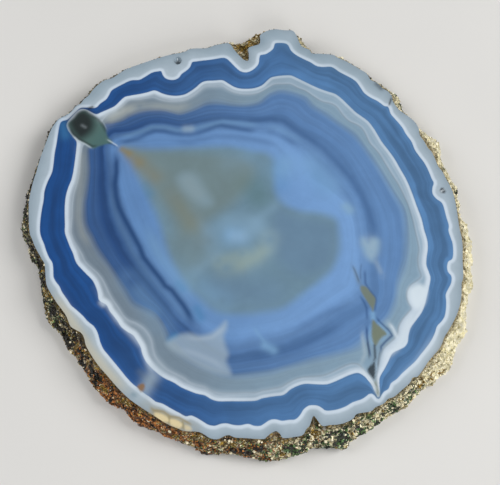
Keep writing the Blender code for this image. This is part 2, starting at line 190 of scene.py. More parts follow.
# Where the white band gives way to smoky grey
SMOKE_EDGE = (
    (-40.1, 9), (-40, 11.4), (-39.6, 13.4), (-39.3, 15), (-39.1, 17), (-39.1, 20), (-39, 22),
    (-38.6, 24), (-36.4, 26.4), (-34.6, 30.2), (-33.5, 31.8), (-31.6, 32.9), (-30, 34.2),
    (-29, 35.4), (-28, 35.8), (-26, 35.9), (-24, 36.3), (-22.8, 36.4), (-21.4, 35.8),
    (-19.4, 35.3), (-17.2, 35.3), (-15.2, 35.7), (-13.6, 36.6), (-12.4, 37.6),
    (-11.2, 38.8), (-10, 39.3), (-8, 39.3), (-6.6, 39.3), (-5.2, 38.4), (-3.6, 37.6),
    (-1.6, 37.2), (0.4, 37.2), (2, 37.6), (3.4, 38.4), (4.6, 39.2), (5.8, 39.9), (7.6, 40),
    (9.6, 40), (11.4, 39), (13.2, 38.2), (15, 36.8), (17, 35.4), (19.2, 34.8),
    (20.6, 33.8), (22, 31.6), (23.4, 30.1), (25, 29.3), (26.2, 28.3), (27, 26.8),
    (27.8, 24.6), (29, 23), (30, 21.6), (31, 19.6), (32.4, 16.8), (33.8, 14.2),
    (34.8, 11.8), (35.8, 9), (36.6, 5.4), (37, 2.6), (37.4, 0), (37.5, -1.8), (37.1, -4),
    (37.2, -6), (37.6, -7.8), (36.4, -9), (35.2, -9.8), (34.4, -11), (34.1, -12.4),
    (34.4, -13.8), (35, -15), (34, -16.2), (32.8, -17.6), (32, -19), (31.6, -20.6),
    (30.8, -21.8), (29.6, -22.8), (28.4, -24), (27.8, -25.4), (27.2, -27.4),
    (26.8, -29.2), (26.6, -31), (26.7, -33.2), (26.3, -33), (25.5, -30.9), (24.4, -29.3),
    (23.4, -27.8), (22.6, -27.2), (21.2, -27.2), (19.4, -27.9), (17.6, -28.8), (15.6, -29.6),
    (14, -29.8), (11.2, -30), (9.6, -30.4), (8, -31.2), (6.6, -32), (4.8, -32.4),
    (2.6, -32.8), (1.2, -33.2), (-1, -33.2), (-4, -33.3), (-6.6, -33.2), (-8.2, -32.8),
    (-9.6, -32), (-11.2, -31.6), (-12.8, -31), (-14, -30.1), (-15.6, -29.3),
    (-17.4, -28.4), (-18.8, -27.2), (-20, -25.6), (-20.6, -24), (-21, -22.2),
    (-21.8, -20.6), (-23, -19.3), (-24.6, -18.3), (-26, -17.8), (-27.2, -16.8),
    (-28.4, -15), (-29.6, -13.4), (-30.6, -11.8), (-31.4, -10.2), (-32.4, -8.4),
    (-33.6, -7), (-35, -5.8), (-36.4, -4.4), (-37.2, -2.8), (-38.2, -1.2), (-39.2, 0.4),
    (-39.9, 2.2), (-40, 4), (-40, 6),
)

# Where the grey clears into the inner blue
CLEAR_EDGE = (
    (-37.5, 9), (-37.2, 12), (-37, 15), (-37, 18), (-37.4, 21), (-37.4, 23.2), (-35.4, 26.6),
    (-34, 29.4), (-32, 29.8), (-30, 30.4), (-28, 31.8), (-26, 32.7), (-24, 33), (-22, 33.2),
    (-20, 33), (-18, 32.3), (-16.4, 32), (-14, 32.8), (-12, 33.8), (-10.4, 34.6),
    (-8.6, 34.8), (-6, 34.6), (-4, 34.3), (-1, 34.2), (2, 35), (3.6, 36.4), (5.2, 37.6),
    (8, 38.2), (13, 36.6), (15, 34.2), (18, 32), (20.4, 30), (23, 28), (25, 26),
    (27.5, 22), (30, 17.5), (32.5, 12.5), (34.8, 8), (35.2, 4), (35, 0), (34.4, -4),
    (33.2, -7.2), (32.2, -10), (31.6, -13), (30.6, -15.6), (29.4, -17.4), (27, -19.6),
    (25, -21.6), (22, -24), (18, -25.2), (14, -26), (10, -27.2), (7, -28), (4, -28.8),
    (1, -29.2), (-2, -29.5), (-4.4, -29.4), (-9, -27.8), (-13, -26), (-16, -22.8),
    (-17, -22.2), (-17.8, -20.4), (-19, -18), (-20.8, -16), (-23, -15), (-25, -14),
    (-26, -13), (-27.2, -11), (-28.4, -9.2), (-30, -6.8), (-31.4, -4.8), (-32.8, -3),
    (-34.2, -1), (-35.4, 1.4), (-36.4, 3), (-37.2, 5),
)

# Middle of the dark ring within the inner blue
DARK_RING = (
    (-34, 14), (-34.2, 18), (-34.4, 21), (-34.6, 23.4), (-33.6, 26), (-32, 27.6),
    (-30, 27.8), (-28, 28.2), (-26, 29), (-24, 30), (-22, 30.4), (-20, 30.3), (-16, 29.6),
    (-14, 30), (-10, 31), (-6, 31.4), (-2, 31.2), (2, 30.8), (5, 31.4), (7.6, 31.4),
    (9.6, 30), (12, 28), (15, 26.4), (18, 24.2), (20, 22), (22, 19), (24, 15), (25.4, 12),
    (26.4, 8), (27, 4), (27.4, 0), (27.6, -4), (27.4, -8), (27.6, -11), (26.6, -13.4),
    (24, -15.5), (20, -17.3), (16, -20), (12, -22), (8, -23.6), (4, -24.8), (0, -25.6),
    (-5, -26.2), (-10, -23.4), (-14, -19.8), (-16, -18), (-18.5, -15), (-21, -12),
    (-24, -8.5), (-26.5, -5.5), (-28.5, -3), (-30, 0), (-31.6, 3), (-32.6, 6),
    (-33.4, 10),
)

# Edge of the grey-green heart of the stone
HEART_EDGE = (
    (-29, 23), (-27, 20.6), (-26, 18), (-25, 15.4), (-23.6, 12), (-22, 8.6), (-20.4, 4.6),
    (-19, 0), (-17.8, -3.6), (-15.6, -7), (-13, -10.6), (-10, -13.8), (-7, -16), (-3, -16.4),
    (2, -15.8), (6, -15), (9, -13.4), (12, -11), (15, -8.6), (17.4, -6.4), (18.8, -3.4),
    (19.4, 0), (19.2, 4.6), (17.4, 6.2), (13, 7.2), (10, 8.2), (7.4, 9.6), (5.8, 12),
    (5.3, 16), (5, 19.6), (3.4, 21.4), (0, 22), (-4, 23), (-9, 23.2), (-14, 23),
    (-20, 22.8), (-25, 22.6),
)

# Layers of the stone from the edge inward. A band number says how far in a point lies: 0 at the
# rim, 1 at the deep blue's edge, 2 at the white band's edge, and 6 where the heart begins.
LAYERS = (RIM, BLUE_EDGE, WHITE_EDGE, SMOKE_EDGE, CLEAR_EDGE, DARK_RING, HEART_EDGE)
HEART_REACH = 14.0
LAST_BAND = 7.0
EDGE_NAMES = {1: "blue_depth", 2: "white_depth", 3: "smoke_depth", 6: "heart_depth"}

# Touches laid over the bands: kind, tone, strength, softness or half width in millimetres, and
# the points that it follows. A stroke runs along its points and a patch fills them.
TOUCHES = (
    # Hollow pocket at the upper left
    ("patch", "green", 0.95, 0.35, (
        (-42.6, 29.4), (-42, 27.8), (-41.2, 26.4), (-40, 25.2), (-38.4, 24.2), (-36.4, 23.1),
        (-35, 23.6), (-33.2, 24.2), (-32, 24.4), (-32.2, 25), (-33.2, 26.1), (-33.6, 27.6),
        (-34, 28.6), (-35, 30), (-36, 31), (-37.4, 31.8), (-38.8, 32.9), (-40.2, 32.4), (-41.2, 31))),
    ("patch", "ink", 0.92, 1.6, (
        (-42.6, 29.6), (-41.4, 27), (-39.6, 25.4), (-37.6, 26.4), (-36.4, 28.4), (-36.8, 31.2),
        (-38.8, 33.1), (-40.6, 32.8), (-41.8, 31.4))),
    ("stroke", "ink", 0.6, 0.3, (
        (-42.4, 28.6), (-41.2, 26.8), (-40, 25.6), (-38.2, 24.6), (-36.5, 23.6), (-35, 23.8))),
    ("stroke", "ink", 0.5, 0.35, (
        (-38.4, 32.6), (-36, 30.8), (-35, 29.8), (-34, 28.2), (-33.5, 26.6))),
    # Painted glint: a faint near-white highlight on the pocket's quartz
    ("stroke", "milk", 0.16, 0.35, ((-39.3, 29), (-38.5, 28.5))),
    ("stroke", "slate", 0.5, 0.9, ((-36.4, 26.4), (-34.6, 26.2))),
    ("stroke", "milk", 0.45, 0.22, ((-41.4, 26.4), (-40, 25.1), (-38, 24), (-36.4, 22.9))),
    ("stroke", "mist", 0.4, 0.2, ((-36.6, 31.8), (-35.3, 30.8), (-34.2, 29.4), (-33.4, 27.6))),
    ("stroke", "mist", 0.2, 0.3, ((-42.9, 29.6), (-42.2, 31), (-41, 32.4))),
    ("stroke", "milk", 0.5, 0.18, ((-33.4, 25.4), (-32.2, 24.7), (-31, 23.9), (-30.4, 23.4))),
    ("stroke", "ink", 0.4, 0.2, ((-33.2, 24.6), (-32, 24.1), (-31, 23.5))),
    ("stroke", "bronze", 0.7, 0.8, ((-29.6, 22.8), (-28, 21.8))),
    ("stroke", "bronze", 0.5, 1.5, ((-27.6, 21.2), (-25.6, 19.6))),
    ("stroke", "bronze", 0.32, 2.2, ((-25, 18.8), (-22, 16))),
    ("stroke", "bronze", 0.16, 2.2, ((-20, 14), (-17, 10.6), (-14, 6), (-11, 1.4))),
    ("stroke", "olive", 0.3, 1.6, ((-18, 12), (-14.4, 6.4), (-11, 1), (-9.4, -1.6))),
    ("patch", "olive", 0.45, 2.2, (
        (-28.5, 22.8), (-20, 22.4), (-12, 22), (-2, 21), (1, 17), (-3, 10), (-8, 6), (-12, 3),
        (-15, 2), (-18, 6), (-21, 11), (-24.6, 17))),
    # Soft places in the heart
    ("patch", "pool", 0.88, 1.7, (
        (-16.6, 15.6), (-14.8, 17), (-12.4, 16.4), (-10.4, 13.2), (-8.4, 9.6), (-10.6, 8.6),
        (-13.4, 10.6), (-15.8, 13))),
    ("stroke", "mist", 0.25, 1.8, ((-14, 14.6), (-12, 11.8))),
    ("stroke", "green", 0.32, 3.0, ((1.4, 13.6), (2.4, 11))),
    ("stroke", "olive", 0.3, 4.0, ((-15, 0), (-12.6, -3))),
    ("patch", "dusk", 0.45, 2.4, (
        (6.4, 8), (10, 6.6), (14, 5.8), (18, 4.6), (19, 2), (18.6, -3), (16.4, -6.4), (11, -7.6),
        (7, -5), (5.2, -1), (4.8, 4))),
    ("stroke", "dusk", 0.35, 4.4, ((-6, -11), (4, -12))),
    ("stroke", "pool", 0.34, 2.2, (
        (-8.2, -1), (-7.4, 2.4), (-5, 4.8), (-1.4, 5.2), (1.6, 4), (3.4, 1.4), (3.2, -2), (0, -4))),
    ("stroke", "sky", 0.85, 2.3, ((-4, 1.8), (-2.4, 1.6))),
    ("stroke", "mist", 0.2, 1.7, ((-3.2, 1.4), (-2, 1.4))),
    ("stroke", "straw", 0.16, 1.4, ((-7, -4.4), (-5, -3.6), (-1.6, -2.6))),
    ("stroke", "straw", 0.3, 1.9, (
        (-5.4, -5.8), (-2, -5.2), (1.4, -3.4), (3.6, -1.2), (4.4, 0.8))),
    ("stroke", "pool", 0.32, 1.2, ((7.2, 10), (3.4, 6.8), (-0.6, 4))),
    ("stroke", "pool", 0.26, 1.3, ((-5.4, -1.4), (-7.4, -2.6), (-10.4, -5.4), (-13.6, -7.6))),
    ("stroke", "teal", 0.35, 1.3, ((-23.4, 14), (-22.6, 12))),
    ("stroke", "sky", 0.5, 2.4, ((7.4, 17.6), (8, 19))),
    ("stroke", "sky", 0.28, 2.2, ((-5, 19.6), (-1, 20.4))),
    ("stroke", "pool", 0.3, 2.2, ((-13, 6.4), (-11, 3.6), (-9, 0.4))),
    ("stroke", "pool", 0.35, 1.8, ((0, 2.2), (2, 4))),
    ("stroke", "sky", 0.28, 2.4, ((-12, -8.6), (-9, -11.4), (-6, -13.4))),
    ("stroke", "sky", 0.4, 3.0, ((14, 19), (18, 14))),
    ("stroke", "teal", 0.2, 2.0, ((6.6, 18), (7.2, 14))),
    ("stroke", "teal", 0.14, 2.0, ((15.4, 16), (17, 13.6))),
    ("stroke", "green", 0.2, 2.6, ((-2, 14), (1, 11))),
    ("stroke", "pool", 0.6, 1.1, ((21.6, 8.6), (22.4, 7.8))),
    ("stroke", "sky", 0.3, 2.6, ((-26, -9), (-22, -14), (-19, -18))),
    # Dark thread and its pale twin between the heart and the dark ring
    ("stroke", "deep", 0.95, 0.8, (
        (-31.6, 22.8), (-30.8, 20), (-30.6, 17), (-30.8, 14), (-30.4, 11), (-29.6, 8.4),
        (-28.4, 6), (-27, 3.5), (-25.4, 0.6), (-24.5, -1), (-23.5, -3.5), (-21.5, -6),
        (-19.5, -8.5), (-18.5, -10), (-17, -11), (-15.5, -13), (-14.5, -14.3), (-13.5, -15.8),
        (-12.5, -17.6), (-11.5, -19.3))),
    ("stroke", "deep", 0.55, 0.7, (
        (-31.6, 25), (-29, 24.8), (-26, 25.6), (-24, 26.8), (-22, 27.6), (-20, 27.4), (-18, 26.9),
        (-16, 26.6), (-14, 26.6), (-12, 27), (-10, 27.8), (-8, 28.8), (-6.8, 29), (-4.8, 28.6),
        (-2, 28), (0, 27.7), (2.4, 27.6))),
    ("stroke", "deep", 0.3, 0.8, ((2.4, 27.6), (5.4, 27), (8.6, 25.4), (12, 23))),
    ("stroke", "deep", 0.22, 0.8, (
        (-19, 25), (-14, 24.6), (-8, 26.2), (-3, 26), (3, 25), (7, 23.6))),
    ("stroke", "deep", 0.34, 0.9, (
        (-2, 30.4), (5, 30.6), (8, 30), (11, 27.6), (14, 25.4), (17, 22.8), (20, 19.4), (23, 15.6),
        (25, 12), (26.6, 8), (27.6, 4), (28, 0))),
    ("stroke", "deep", 0.16, 0.8, ((13, 22), (17, 19), (20.4, 15), (22.8, 10.4), (24, 6))),
    ("stroke", "deep", 0.3, 1.1, ((-3, -26.4), (4, -25.4), (10, -23.8), (16, -20.6), (21, -18))),
    ("stroke", "deep", 0.22, 0.8, ((8, -20.6), (13, -18), (18, -15.4), (22, -14))),
    ("stroke", "deep", 0.3, 0.9, (
        (-33.4, 22), (-33, 16), (-32.4, 10), (-30.4, 4), (-28, -0.6), (-25, -5), (-21.6, -9.6),
        (-18.6, -13.4), (-16, -17))),
    ("stroke", "sky", 0.12, 0.8, (
        (-32, 14), (-31.2, 9), (-29.4, 4.4), (-27, 0), (-25.5, -3), (-22.5, -7.4), (-19.5, -10.6),
        (-17, -13.2), (-15, -15.6), (-13, -18.5))),
    ("stroke", "sky", 0.32, 0.6, (
        (-31, 25.8), (-28, 26.4), (-25, 27.6), (-23, 28.6), (-20, 28.6), (-17, 27.8), (-13.5, 28),
        (-10, 29), (-6.5, 30), (-3, 29.6), (0, 29.2), (3, 29))),
    ("stroke", "sky", 0.2, 0.7, ((3, 29), (6, 28.4), (9.4, 26.6), (13, 24.2))),
    ("stroke", "sky", 0.4, 1.5, (
        (-24, 5), (-22, 1), (-20, -3), (-17, -7), (-14, -11), (-11.5, -14))),
    ("stroke", "teal", 0.5, 0.9, ((-15.6, -9.4), (-14.6, -10.6))),
    ("stroke", "teal", 0.5, 1.1, ((-11.4, -15.2), (-10.6, -17))),
    ("stroke", "mist", 0.45, 0.9, ((-15, 28.1), (-13.8, 28.1))),
    # Pale wedge at the lower left
    ("patch", "mist", 0.62, 0.85, (
        (-17.8, -22.8), (-15.4, -21), (-13, -20.5), (-10.6, -21), (-8.4, -20.5), (-6.6, -19.2),
        (-5.2, -17.9), (-5, -19.4), (-5.6, -21.2), (-5.2, -23.2), (-4.6, -25), (-5, -26.6),
        (-4.2, -29.4), (-9, -28.4), (-14, -25.8))),
    ("stroke", "milk", 0.12, 0.5, (
        (-14.4, -21.4), (-11, -21.8), (-8, -21.4), (-6, -19.6), (-5.3, -18.4))),
    ("stroke", "slate", 0.18, 0.6, ((-15, -22.6), (-11, -23.2), (-7.4, -24.2), (-5.6, -25.4))),
    ("stroke", "milk", 0.12, 0.6, ((-15.6, -23.6), (-11.4, -25), (-7.6, -26.6), (-5, -28.6))),
    ("stroke", "teal", 0.8, 0.8, ((-17, -21.9), (-16, -21.2))),
    ("stroke", "sky", 0.65, 1.0, ((3.2, -23.2), (5, -24.2))),
    ("stroke", "sky", 0.4, 0.4, ((0.6, -19), (2, -21), (3.6, -23))),
    # Flaw that runs down the right side: its threads, its two lenses and its foot
    ("patch", "olive", 0.9, 0.3, (
        (24.2, -10), (25.3, -10.2), (26.2, -11.4), (27.1, -12.6), (27.2, -13.4), (26.8, -15),
        (26.5, -15.8), (26.2, -15), (25.4, -13.6), (24.6, -12.2), (24.1, -11))),
    ("patch", "olive", 0.95, 0.3, (
        (26.4, -17.6), (27.4, -18.6), (29.2, -20.6), (28.4, -21.2), (27.6, -22), (26.8, -23.2),
        (26.3, -22.6), (26, -21), (26.1, -19.4))),
    ("patch", "ink", 0.85, 0.25, (
        (26.3, -26.2), (25.9, -27), (24.9, -28), (24.8, -28.8), (25.4, -29.8), (26, -30.4),
        (26.4, -28.5))),
    ("stroke", "olive", 0.3, 0.5, ((22.6, -5), (23.4, -8), (24.2, -10.4))),
    ("stroke", "ink", 0.35, 0.22, ((22.4, -5), (23.2, -7), (24, -9.6))),
    ("stroke", "ink", 0.3, 0.2, ((24.6, -4.6), (24.2, -7), (24.2, -9))),
    ("stroke", "deep", 0.5, 0.3, (
        (25.2, -6), (25.2, -9.4), (26, -11), (27, -12.4), (27.3, -13.2), (27, -15), (26.7, -16.6))),
    ("stroke", "deep", 0.5, 0.3, ((23.7, -11.8), (24.8, -13.8), (25.2, -15), (25.2, -18))),
    ("stroke", "sky", 0.8, 0.6, ((26.5, -16.2), (26.5, -17.2))),
    ("stroke", "sky", 0.5, 0.34, (
        (26.2, -17.8), (25.8, -19.6), (25.7, -21.4), (26.1, -23), (26.8, -23.8))),
    ("stroke", "sky", 0.5, 0.34, (
        (26.8, -17.4), (28, -18.8), (29.6, -20.5), (28.6, -21.7), (27.4, -22.9))),
    ("stroke", "deep", 0.7, 0.28, (
        (26.9, -16.6), (27.8, -18), (29.6, -19.8), (30.4, -21), (28.8, -22.4), (27.9, -23.4),
        (27.7, -25))),
    ("stroke", "deep", 0.7, 0.26, ((25, -18.6), (25, -21.5), (25.3, -24), (25.6, -26))),
    ("stroke", "mist", 0.6, 0.45, (
        (24.3, -19.4), (24, -21.2), (24.2, -23), (24.4, -25), (23.6, -26.8), (22.8, -28))),
    ("stroke", "ink", 0.4, 0.2, ((24.9, -22), (25.2, -24.4), (25.2, -26.4))),
    ("stroke", "ink", 0.4, 0.2, ((27.7, -24), (27.2, -26), (26.9, -28))),
    ("stroke", "ink", 0.7, 0.3, ((26.5, -23.2), (26.5, -26))),
    ("stroke", "olive", 0.85, 0.45, ((26, -30.2), (26.4, -32), (26.9, -34.4))),
    ("stroke", "milk", 0.7, 0.32, (
        (23.2, -27.6), (24.2, -29), (25.4, -30.4), (26.2, -32.4), (26.4, -33.6))),
    ("stroke", "milk", 0.7, 0.4, ((29.6, -18), (30.6, -19.4), (31.2, -21), (31.8, -22))),
    ("stroke", "milk", 0.55, 0.7, (
        (28, -27.6), (29, -25.4), (31, -23.8), (32.4, -22.2), (33.2, -19.8), (34.4, -17.6), (35.8, -15.8))),
    # Pale bulge beside the flaw, and the small heart shape above it
    ("patch", "milk", 0.9, 0.85, (
        (34.6, -11), (35.6, -10), (37, -9.6), (38.4, -10.6), (38.2, -12.6), (37.4, -14.4),
        (36.2, -15.2), (35.2, -14.6), (34.7, -13))),
    ("patch", "pool", 0.92, 1.1, (
        (25, 1), (26.2, 0.2), (27.4, 1), (28.6, 0.4), (28.4, -1.8), (27.4, -3.6), (26.8, -4.4),
        (25.8, -3.2), (25, -1.2))),
    ("stroke", "mist", 0.35, 0.6, ((27.4, -3.6), (28.4, -6), (29, -7.8))),
    ("stroke", "mist", 0.4, 1.6, ((26.2, 0), (27.2, -0.2), (26.9, -2.2))),
    ("stroke", "sky", 0.45, 1.0, ((22, 8.4), (22.4, 7.6))),
    # Chalky and rusty places at the rim
    ("stroke", "ochre", 0.8, 1.25, (
        (-21.4, -36.2), (-19, -37.8), (-16.4, -39), (-13.6, -40), (-11.8, -40.4))),
    ("patch", "chalk", 0.95, 0.28, (
        (-19.8, -37.4), (-18.6, -37.4), (-17.2, -38.1), (-16.8, -39), (-17.8, -39.2), (-19.2, -38.6))),
    ("patch", "chalk", 0.95, 0.28, (
        (-16.4, -38.6), (-15, -38.8), (-14, -39.6), (-14.4, -40.4), (-15.6, -40.2), (-16.4, -39.6))),
    ("patch", "chalk", 0.7, 0.28, ((-13.4, -39.8), (-12.3, -40.1), (-12, -40.9), (-13.2, -40.9))),
    ("stroke", "bronze", 0.7, 0.28, (
        (-21, -35.8), (-20, -36.8), (-18, -37), (-16.6, -38), (-14.6, -38.3), (-13, -39.2), (-11.6, -40))),
    ("stroke", "bronze", 0.6, 0.22, ((-16.8, -38.2), (-16.6, -39.2))),
    ("stroke", "bronze", 0.6, 0.22, ((-13.9, -39.2), (-13.7, -40.4))),
    ("patch", "amber", 0.85, 0.25, ((-23.6, -31.9), (-22.4, -31.2), (-22, -32), (-22.6, -33))),
    ("stroke", "slate", 0.6, 0.5, ((-24.4, -33.5), (-24, -33.7))),
    ("stroke", "mist", 0.58, 1.6, (
        (-22.8, -34), (-21.6, -31.8), (-20.8, -30.2), (-19.8, -28.4))),
    ("stroke", "mist", 0.1, 0.8, ((-21.2, -31), (-23.2, -28.8))),
    ("stroke", "sand", 0.55, 1.3, ((-34.4, 29.6), (-32.4, 31), (-29.4, 33), (-26, 34))),
    ("stroke", "sand", 0.35, 1.2, ((-26, 34), (-21, 34), (-17, 33.6), (-13, 34.8))),
    ("stroke", "milk", 0.25, 0.9, ((-35, 30.8), (-33, 31.8), (-30.6, 33))),
    ("stroke", "sand", 0.24, 0.9, (
        (-40.4, 24.4), (-39, 21), (-38.9, 16), (-38.8, 11), (-38.6, 6), (-37.4, 2), (-35, -2))),
    ("stroke", "chalk", 0.42, 1.3, (
        (-24.6, -34.2), (-29.6, -29.4), (-33.8, -24.4), (-37.6, -19), (-40.6, -15), (-43.6, -10.4))),
    ("stroke", "milk", 0.3, 1.2, ((41.4, -20), (38.6, -23.4), (35.4, -27.6), (31, -31.6))),
    ("stroke", "slate", 0.2, 1.6, (
        (-14, 48.4), (-4, 49), (6, 53.4), (14, 48.4), (26, 42.4), (34, 34.6))),
    # Darker inside the two pits
    ("stroke", "ink", 0.85, 0.55, ((-17.6, 46.2), (-17.2, 46.2))),
    ("patch", "ink", 0.9, 0.2, (
        (44.35, 12.5), (44.2, 12.95), (43.8, 13.1), (43.4, 12.95), (43.25, 12.5), (43.4, 12.05),
        (43.8, 11.9), (44.2, 12.05))),
    ("stroke", "milk", 0.5, 0.6, ((-32.2, -13.8), (-31.8, -14.2))),
    ("stroke", "milk", 0.4, 0.75, (
        (-33.4, -10.4), (-30.6, -14.4), (-28.6, -17.4), (-25.4, -20.6), (-22.8, -23.4),
        (-21.4, -27), (-19.4, -30))),
    ("stroke", "ochre", 0.45, 0.9, ((39.8, -26), (41, -24.2), (42.2, -22.4))),
    ("stroke", "slate", 0.15, 1.6, ((-41, 34), (-34, 39.6), (-26, 44), (-19, 47))),
    # Pale centre of the small pit
    ("stroke", "milk", 0.8, 0.22, ((43.5, 12.3), (43.8, 12.5), (44.1, 12.7))),
    ("stroke", "ink", 0.85, 0.4, ((-37.9, 33.5), (-37.2, 33.8))),
    ("stroke", "ink", 0.75, 0.25, ((32.7, 33.9), (33.1, 35), (33.6, 36.6))),
    ("stroke", "ink", 0.55, 0.6, ((30.2, 40), (31.2, 38.8))),
    ("stroke", "teal", 0.5, 1.4, ((-43, 26.6), (-43.6, 29))),
)

# Tones of the touches, in the order in which they are laid over one another
TONES = {
    "deep": "183f70", "slate": "5c7d8f", "dusk": "5f7c9c", "teal": "3b7bab", "sky": "7ba6cc",
    "pool": "86a8c2", "mist": "a3b5c0", "sand": "b2b5ac", "straw": "b4bf9f", "green": "4b6b66",
    "olive": "737c69", "bronze": "897b52", "ochre": "a39262", "amber": "8a6535", "chalk": "e0cfa2",
    "ink": "14181a", "milk": "d6e2ea",
}

# Pits in the polished face: centre, half width, half length and depth, in millimetres
PITS = (
    ((-17.4, 46.4), (0.9, 1.1), 1.0),
    ((43.8, 12.5), (0.45, 0.45), 0.35),
)

# Rocky shelves: where on the outline, how wide, and how high up the wall the shelf stands (mm)
SHELVES = (
    ((0, 51), 4.5, 4.9),
    ((13.2, -40), 2.6, 4.4),
    ((5.4, -42), 3.2, 5.0),
    ((-20, -38), 6.0, 3.6),
    ((24, -38), 5.0, 3.2),
    ((42, 22), 10.0, 4.6),
    ((47, 2), 10.0, 4.6),
    ((46, -11), 8.0, 4.0),
    ((-46, -6), 7.0, 3.0),
    ((-36, -24), 6.0, 2.4),
)
PLAIN_SHELF = 3.0

# How white the second band is along its way: place, how far that reaches (mm), and the share of white
WHITE_PLACES = (
    ((-41, 10), 9.0, (1.0,)), ((-37, -6), 8.0, (0.95,)), ((-26, -20), 8.0, (0.97,)),
    ((-12, -33), 8.0, (0.65,)), ((4, -34), 8.0, (0.3,)), ((18, -30), 7.0, (0.5,)),
    ((28, -28), 5.0, (1.1,)), ((36, -17), 7.0, (1.1,)), ((39, -7), 5.0, (0.9,)), ((39, 4), 7.0, (0.55,)),
    ((35, 16), 8.0, (0.35,)), ((28, 29), 8.0, (0.2,)), ((16, 38), 8.0, (0.12,)), ((6, 42), 6.0, (0.15,)),
    ((-3, 38), 6.0, (0.4,)), ((-14, 37), 7.0, (0.4,)), ((-26, 37), 6.0, (0.9,)), ((-36, 32), 6.0, (1.0,)),
    ((-41, 22), 7.0, (1.0,)),
)

# What the rind is made of along the outline: place, how far it reaches (mm), then the share of
# gold, cream, green and rust there. What is left is dark rock.
RIND_PLACES = (
    ((47, 12), 12.0, (0.08, 0.70, 0.04, 0.00)),
    ((49, -4), 10.0, (0.04, 1.05, 0.00, 0.00)),
    ((46, -18), 6.0, (0.12, 1.00, 0.00, 0.00)),
    ((41, -27), 6.0, (0.24, 0.68, 0.12, 0.00)),
    ((32, -35), 7.0, (0.26, 0.34, 0.40, 0.00)),
    ((22, -40), 7.0, (0.18, 0.21, 0.61, 0.00)),
    ((12, -43), 5.0, (0.20, 0.22, 0.52, 0.04)),
    ((13.4, -41), 2.0, (0.75, 0.15, 0.05, 0.15)),
    ((5, -43.4), 2.0, (0.50, 0.20, 0.05, 0.25)),
    ((1, -44), 5.0, (0.28, 0.07, 0.30, 0.14)),
    ((-8, -43), 6.0, (0.32, 0.06, 0.14, 0.14)),
    ((-18, -39), 6.0, (0.20, 0.04, 0.00, 0.45)),
    ((-27, -35), 6.0, (0.23, 0.02, 0.02, 0.45)),
    ((-35, -27), 6.0, (0.34, 0.05, 0.04, 0.16)),
    ((-42, -17), 7.0, (0.34, 0.06, 0.10, 0.00)),
    ((-48, -4), 8.0, (0.28, 0.06, 0.12, 0.00)),
    ((-51, 10), 8.0, (0.22, 0.06, 0.14, 0.00)),
    ((-48, 26), 9.0, (0.20, 0.20, 0.16, 0.00)),
    ((-38, 40), 9.0, (0.12, 0.36, 0.10, 0.00)),
    ((-20, 50), 10.0, (0.20, 0.50, 0.10, 0.00)),
    ((0, 52), 5.0, (0.65, 0.25, 0.00, 0.10)),
    ((16, 51), 10.0, (0.20, 0.50, 0.05, 0.00)),
    ((33, 41), 9.0, (0.10, 0.45, 0.10, 0.00)),
    ((42, 27), 8.0, (0.06, 0.85, 0.00, 0.00)),
)
ROCKS = ("gold", "cream", "green", "rust")

# Rough rind, in millimetres: its broad swells, its crystal facets, and the chips and grit on them
SWELL_MM = 0.75
SWELL_PITCH = 7.0
HEIGHT_STRETCH = 1.6
FACET_PITCH = 3.0
FACET_TILT = 0.5
FACET_STEP = 0.55
FACET_SLOPE_RATE = 7.3
FACET_STEP_RATE = 3.7
FACET_SLOPE_SEEDS = ((31.7, 4.1, 9.3), (2.9, 57.3, 14.8), (71.2, 23.6, 5.4))
MEAN_SINK = 0.35
CHIP_MM = 0.26
CHIP_PITCH = 0.95
CHIP_RATE = 5.3
GRIT_MM = 0.12
GRIT_PITCH = 0.35

# The wall from the polished face, 1, to the underside, 0: its rows, the shelf that it flares down
# to, and how fast the roughness and the chips set in below the rim
ROW_HEIGHTS = (
    1.0, 0.97, 0.93, 0.88, 0.82, 0.76, 0.7, 0.63, 0.56, 0.49, 0.42, 0.35, 0.28, 0.21, 0.14, 0.07, 0.0)
BEARING_SPREAD = 7 / 340
SHELF_SHARE = 0.8
SHELF_WAVER_MM = 0.9
SHELF_WAVER_RATE = 0.11
FLARE_POWER = 1.25
ROUGHNESS_ONSET = 1.9
CHIP_ONSET = 6.0
BOTTOM_ROUGHNESS = 0.45

# Touches: how finely a patch is drawn, how strokes taper at their ends in shares of their softness,
# and the points laid along the finest strokes (mm)
PATCH_STEPS = 12
TAPER_OVERRUN = 0.5
TAPER_REACH = 5.0
TAPER_SHARE = 0.3
FINE_STROKE = 0.3
THREAD_STEP = 0.22
THREAD_SIDES = (-1.6, -0.8, 0.0, 0.8, 1.6)

# How finely curves, bands, pits and faces are drawn
CURVE_STEPS = 8
BAND_CURVE_POINTS = 620
PIT_SIDES = 20
PIT_RINGS = ((1.0, 0.0), (0.82, 0.45), (0.5, 0.8))
ROW_SPACING = 0.87
EDGE_CLEARANCE = 0.55
FOOT_FINENESS = 4
THINNEST_BAND = 0.01
MERGE_WITHIN = 1e-6
TINY = 1e-9
POINTS_AT_ONCE = 2000

# Crystal grains: their shape, which part of the wall they grow on (mm), and their streams of chance
CRYSTAL_WIDTH = 1.6
GRAIN_STRETCH = (0.6, 1.3)
FINE_GRAIN_POWER = 2.2
BARE_FOOT = (0.15, 0.6)
BARE_RIM = (5.95, 5.6)
SMOOTH_CREAM = (0.6, 0.9)
SMOOTH_CREAM_TOP = (5.2, 4.4)
SMOOTH_CREAM_SHARE = 0.9
GRAIN_LOWEST = 0.03
GRAIN_TOP_GAP = 0.02
TURN_STREAM = 11
STRETCH_STREAM = 12
BULK_STREAM = 13
PICK_STREAM = 21
TINT_STREAM = 22

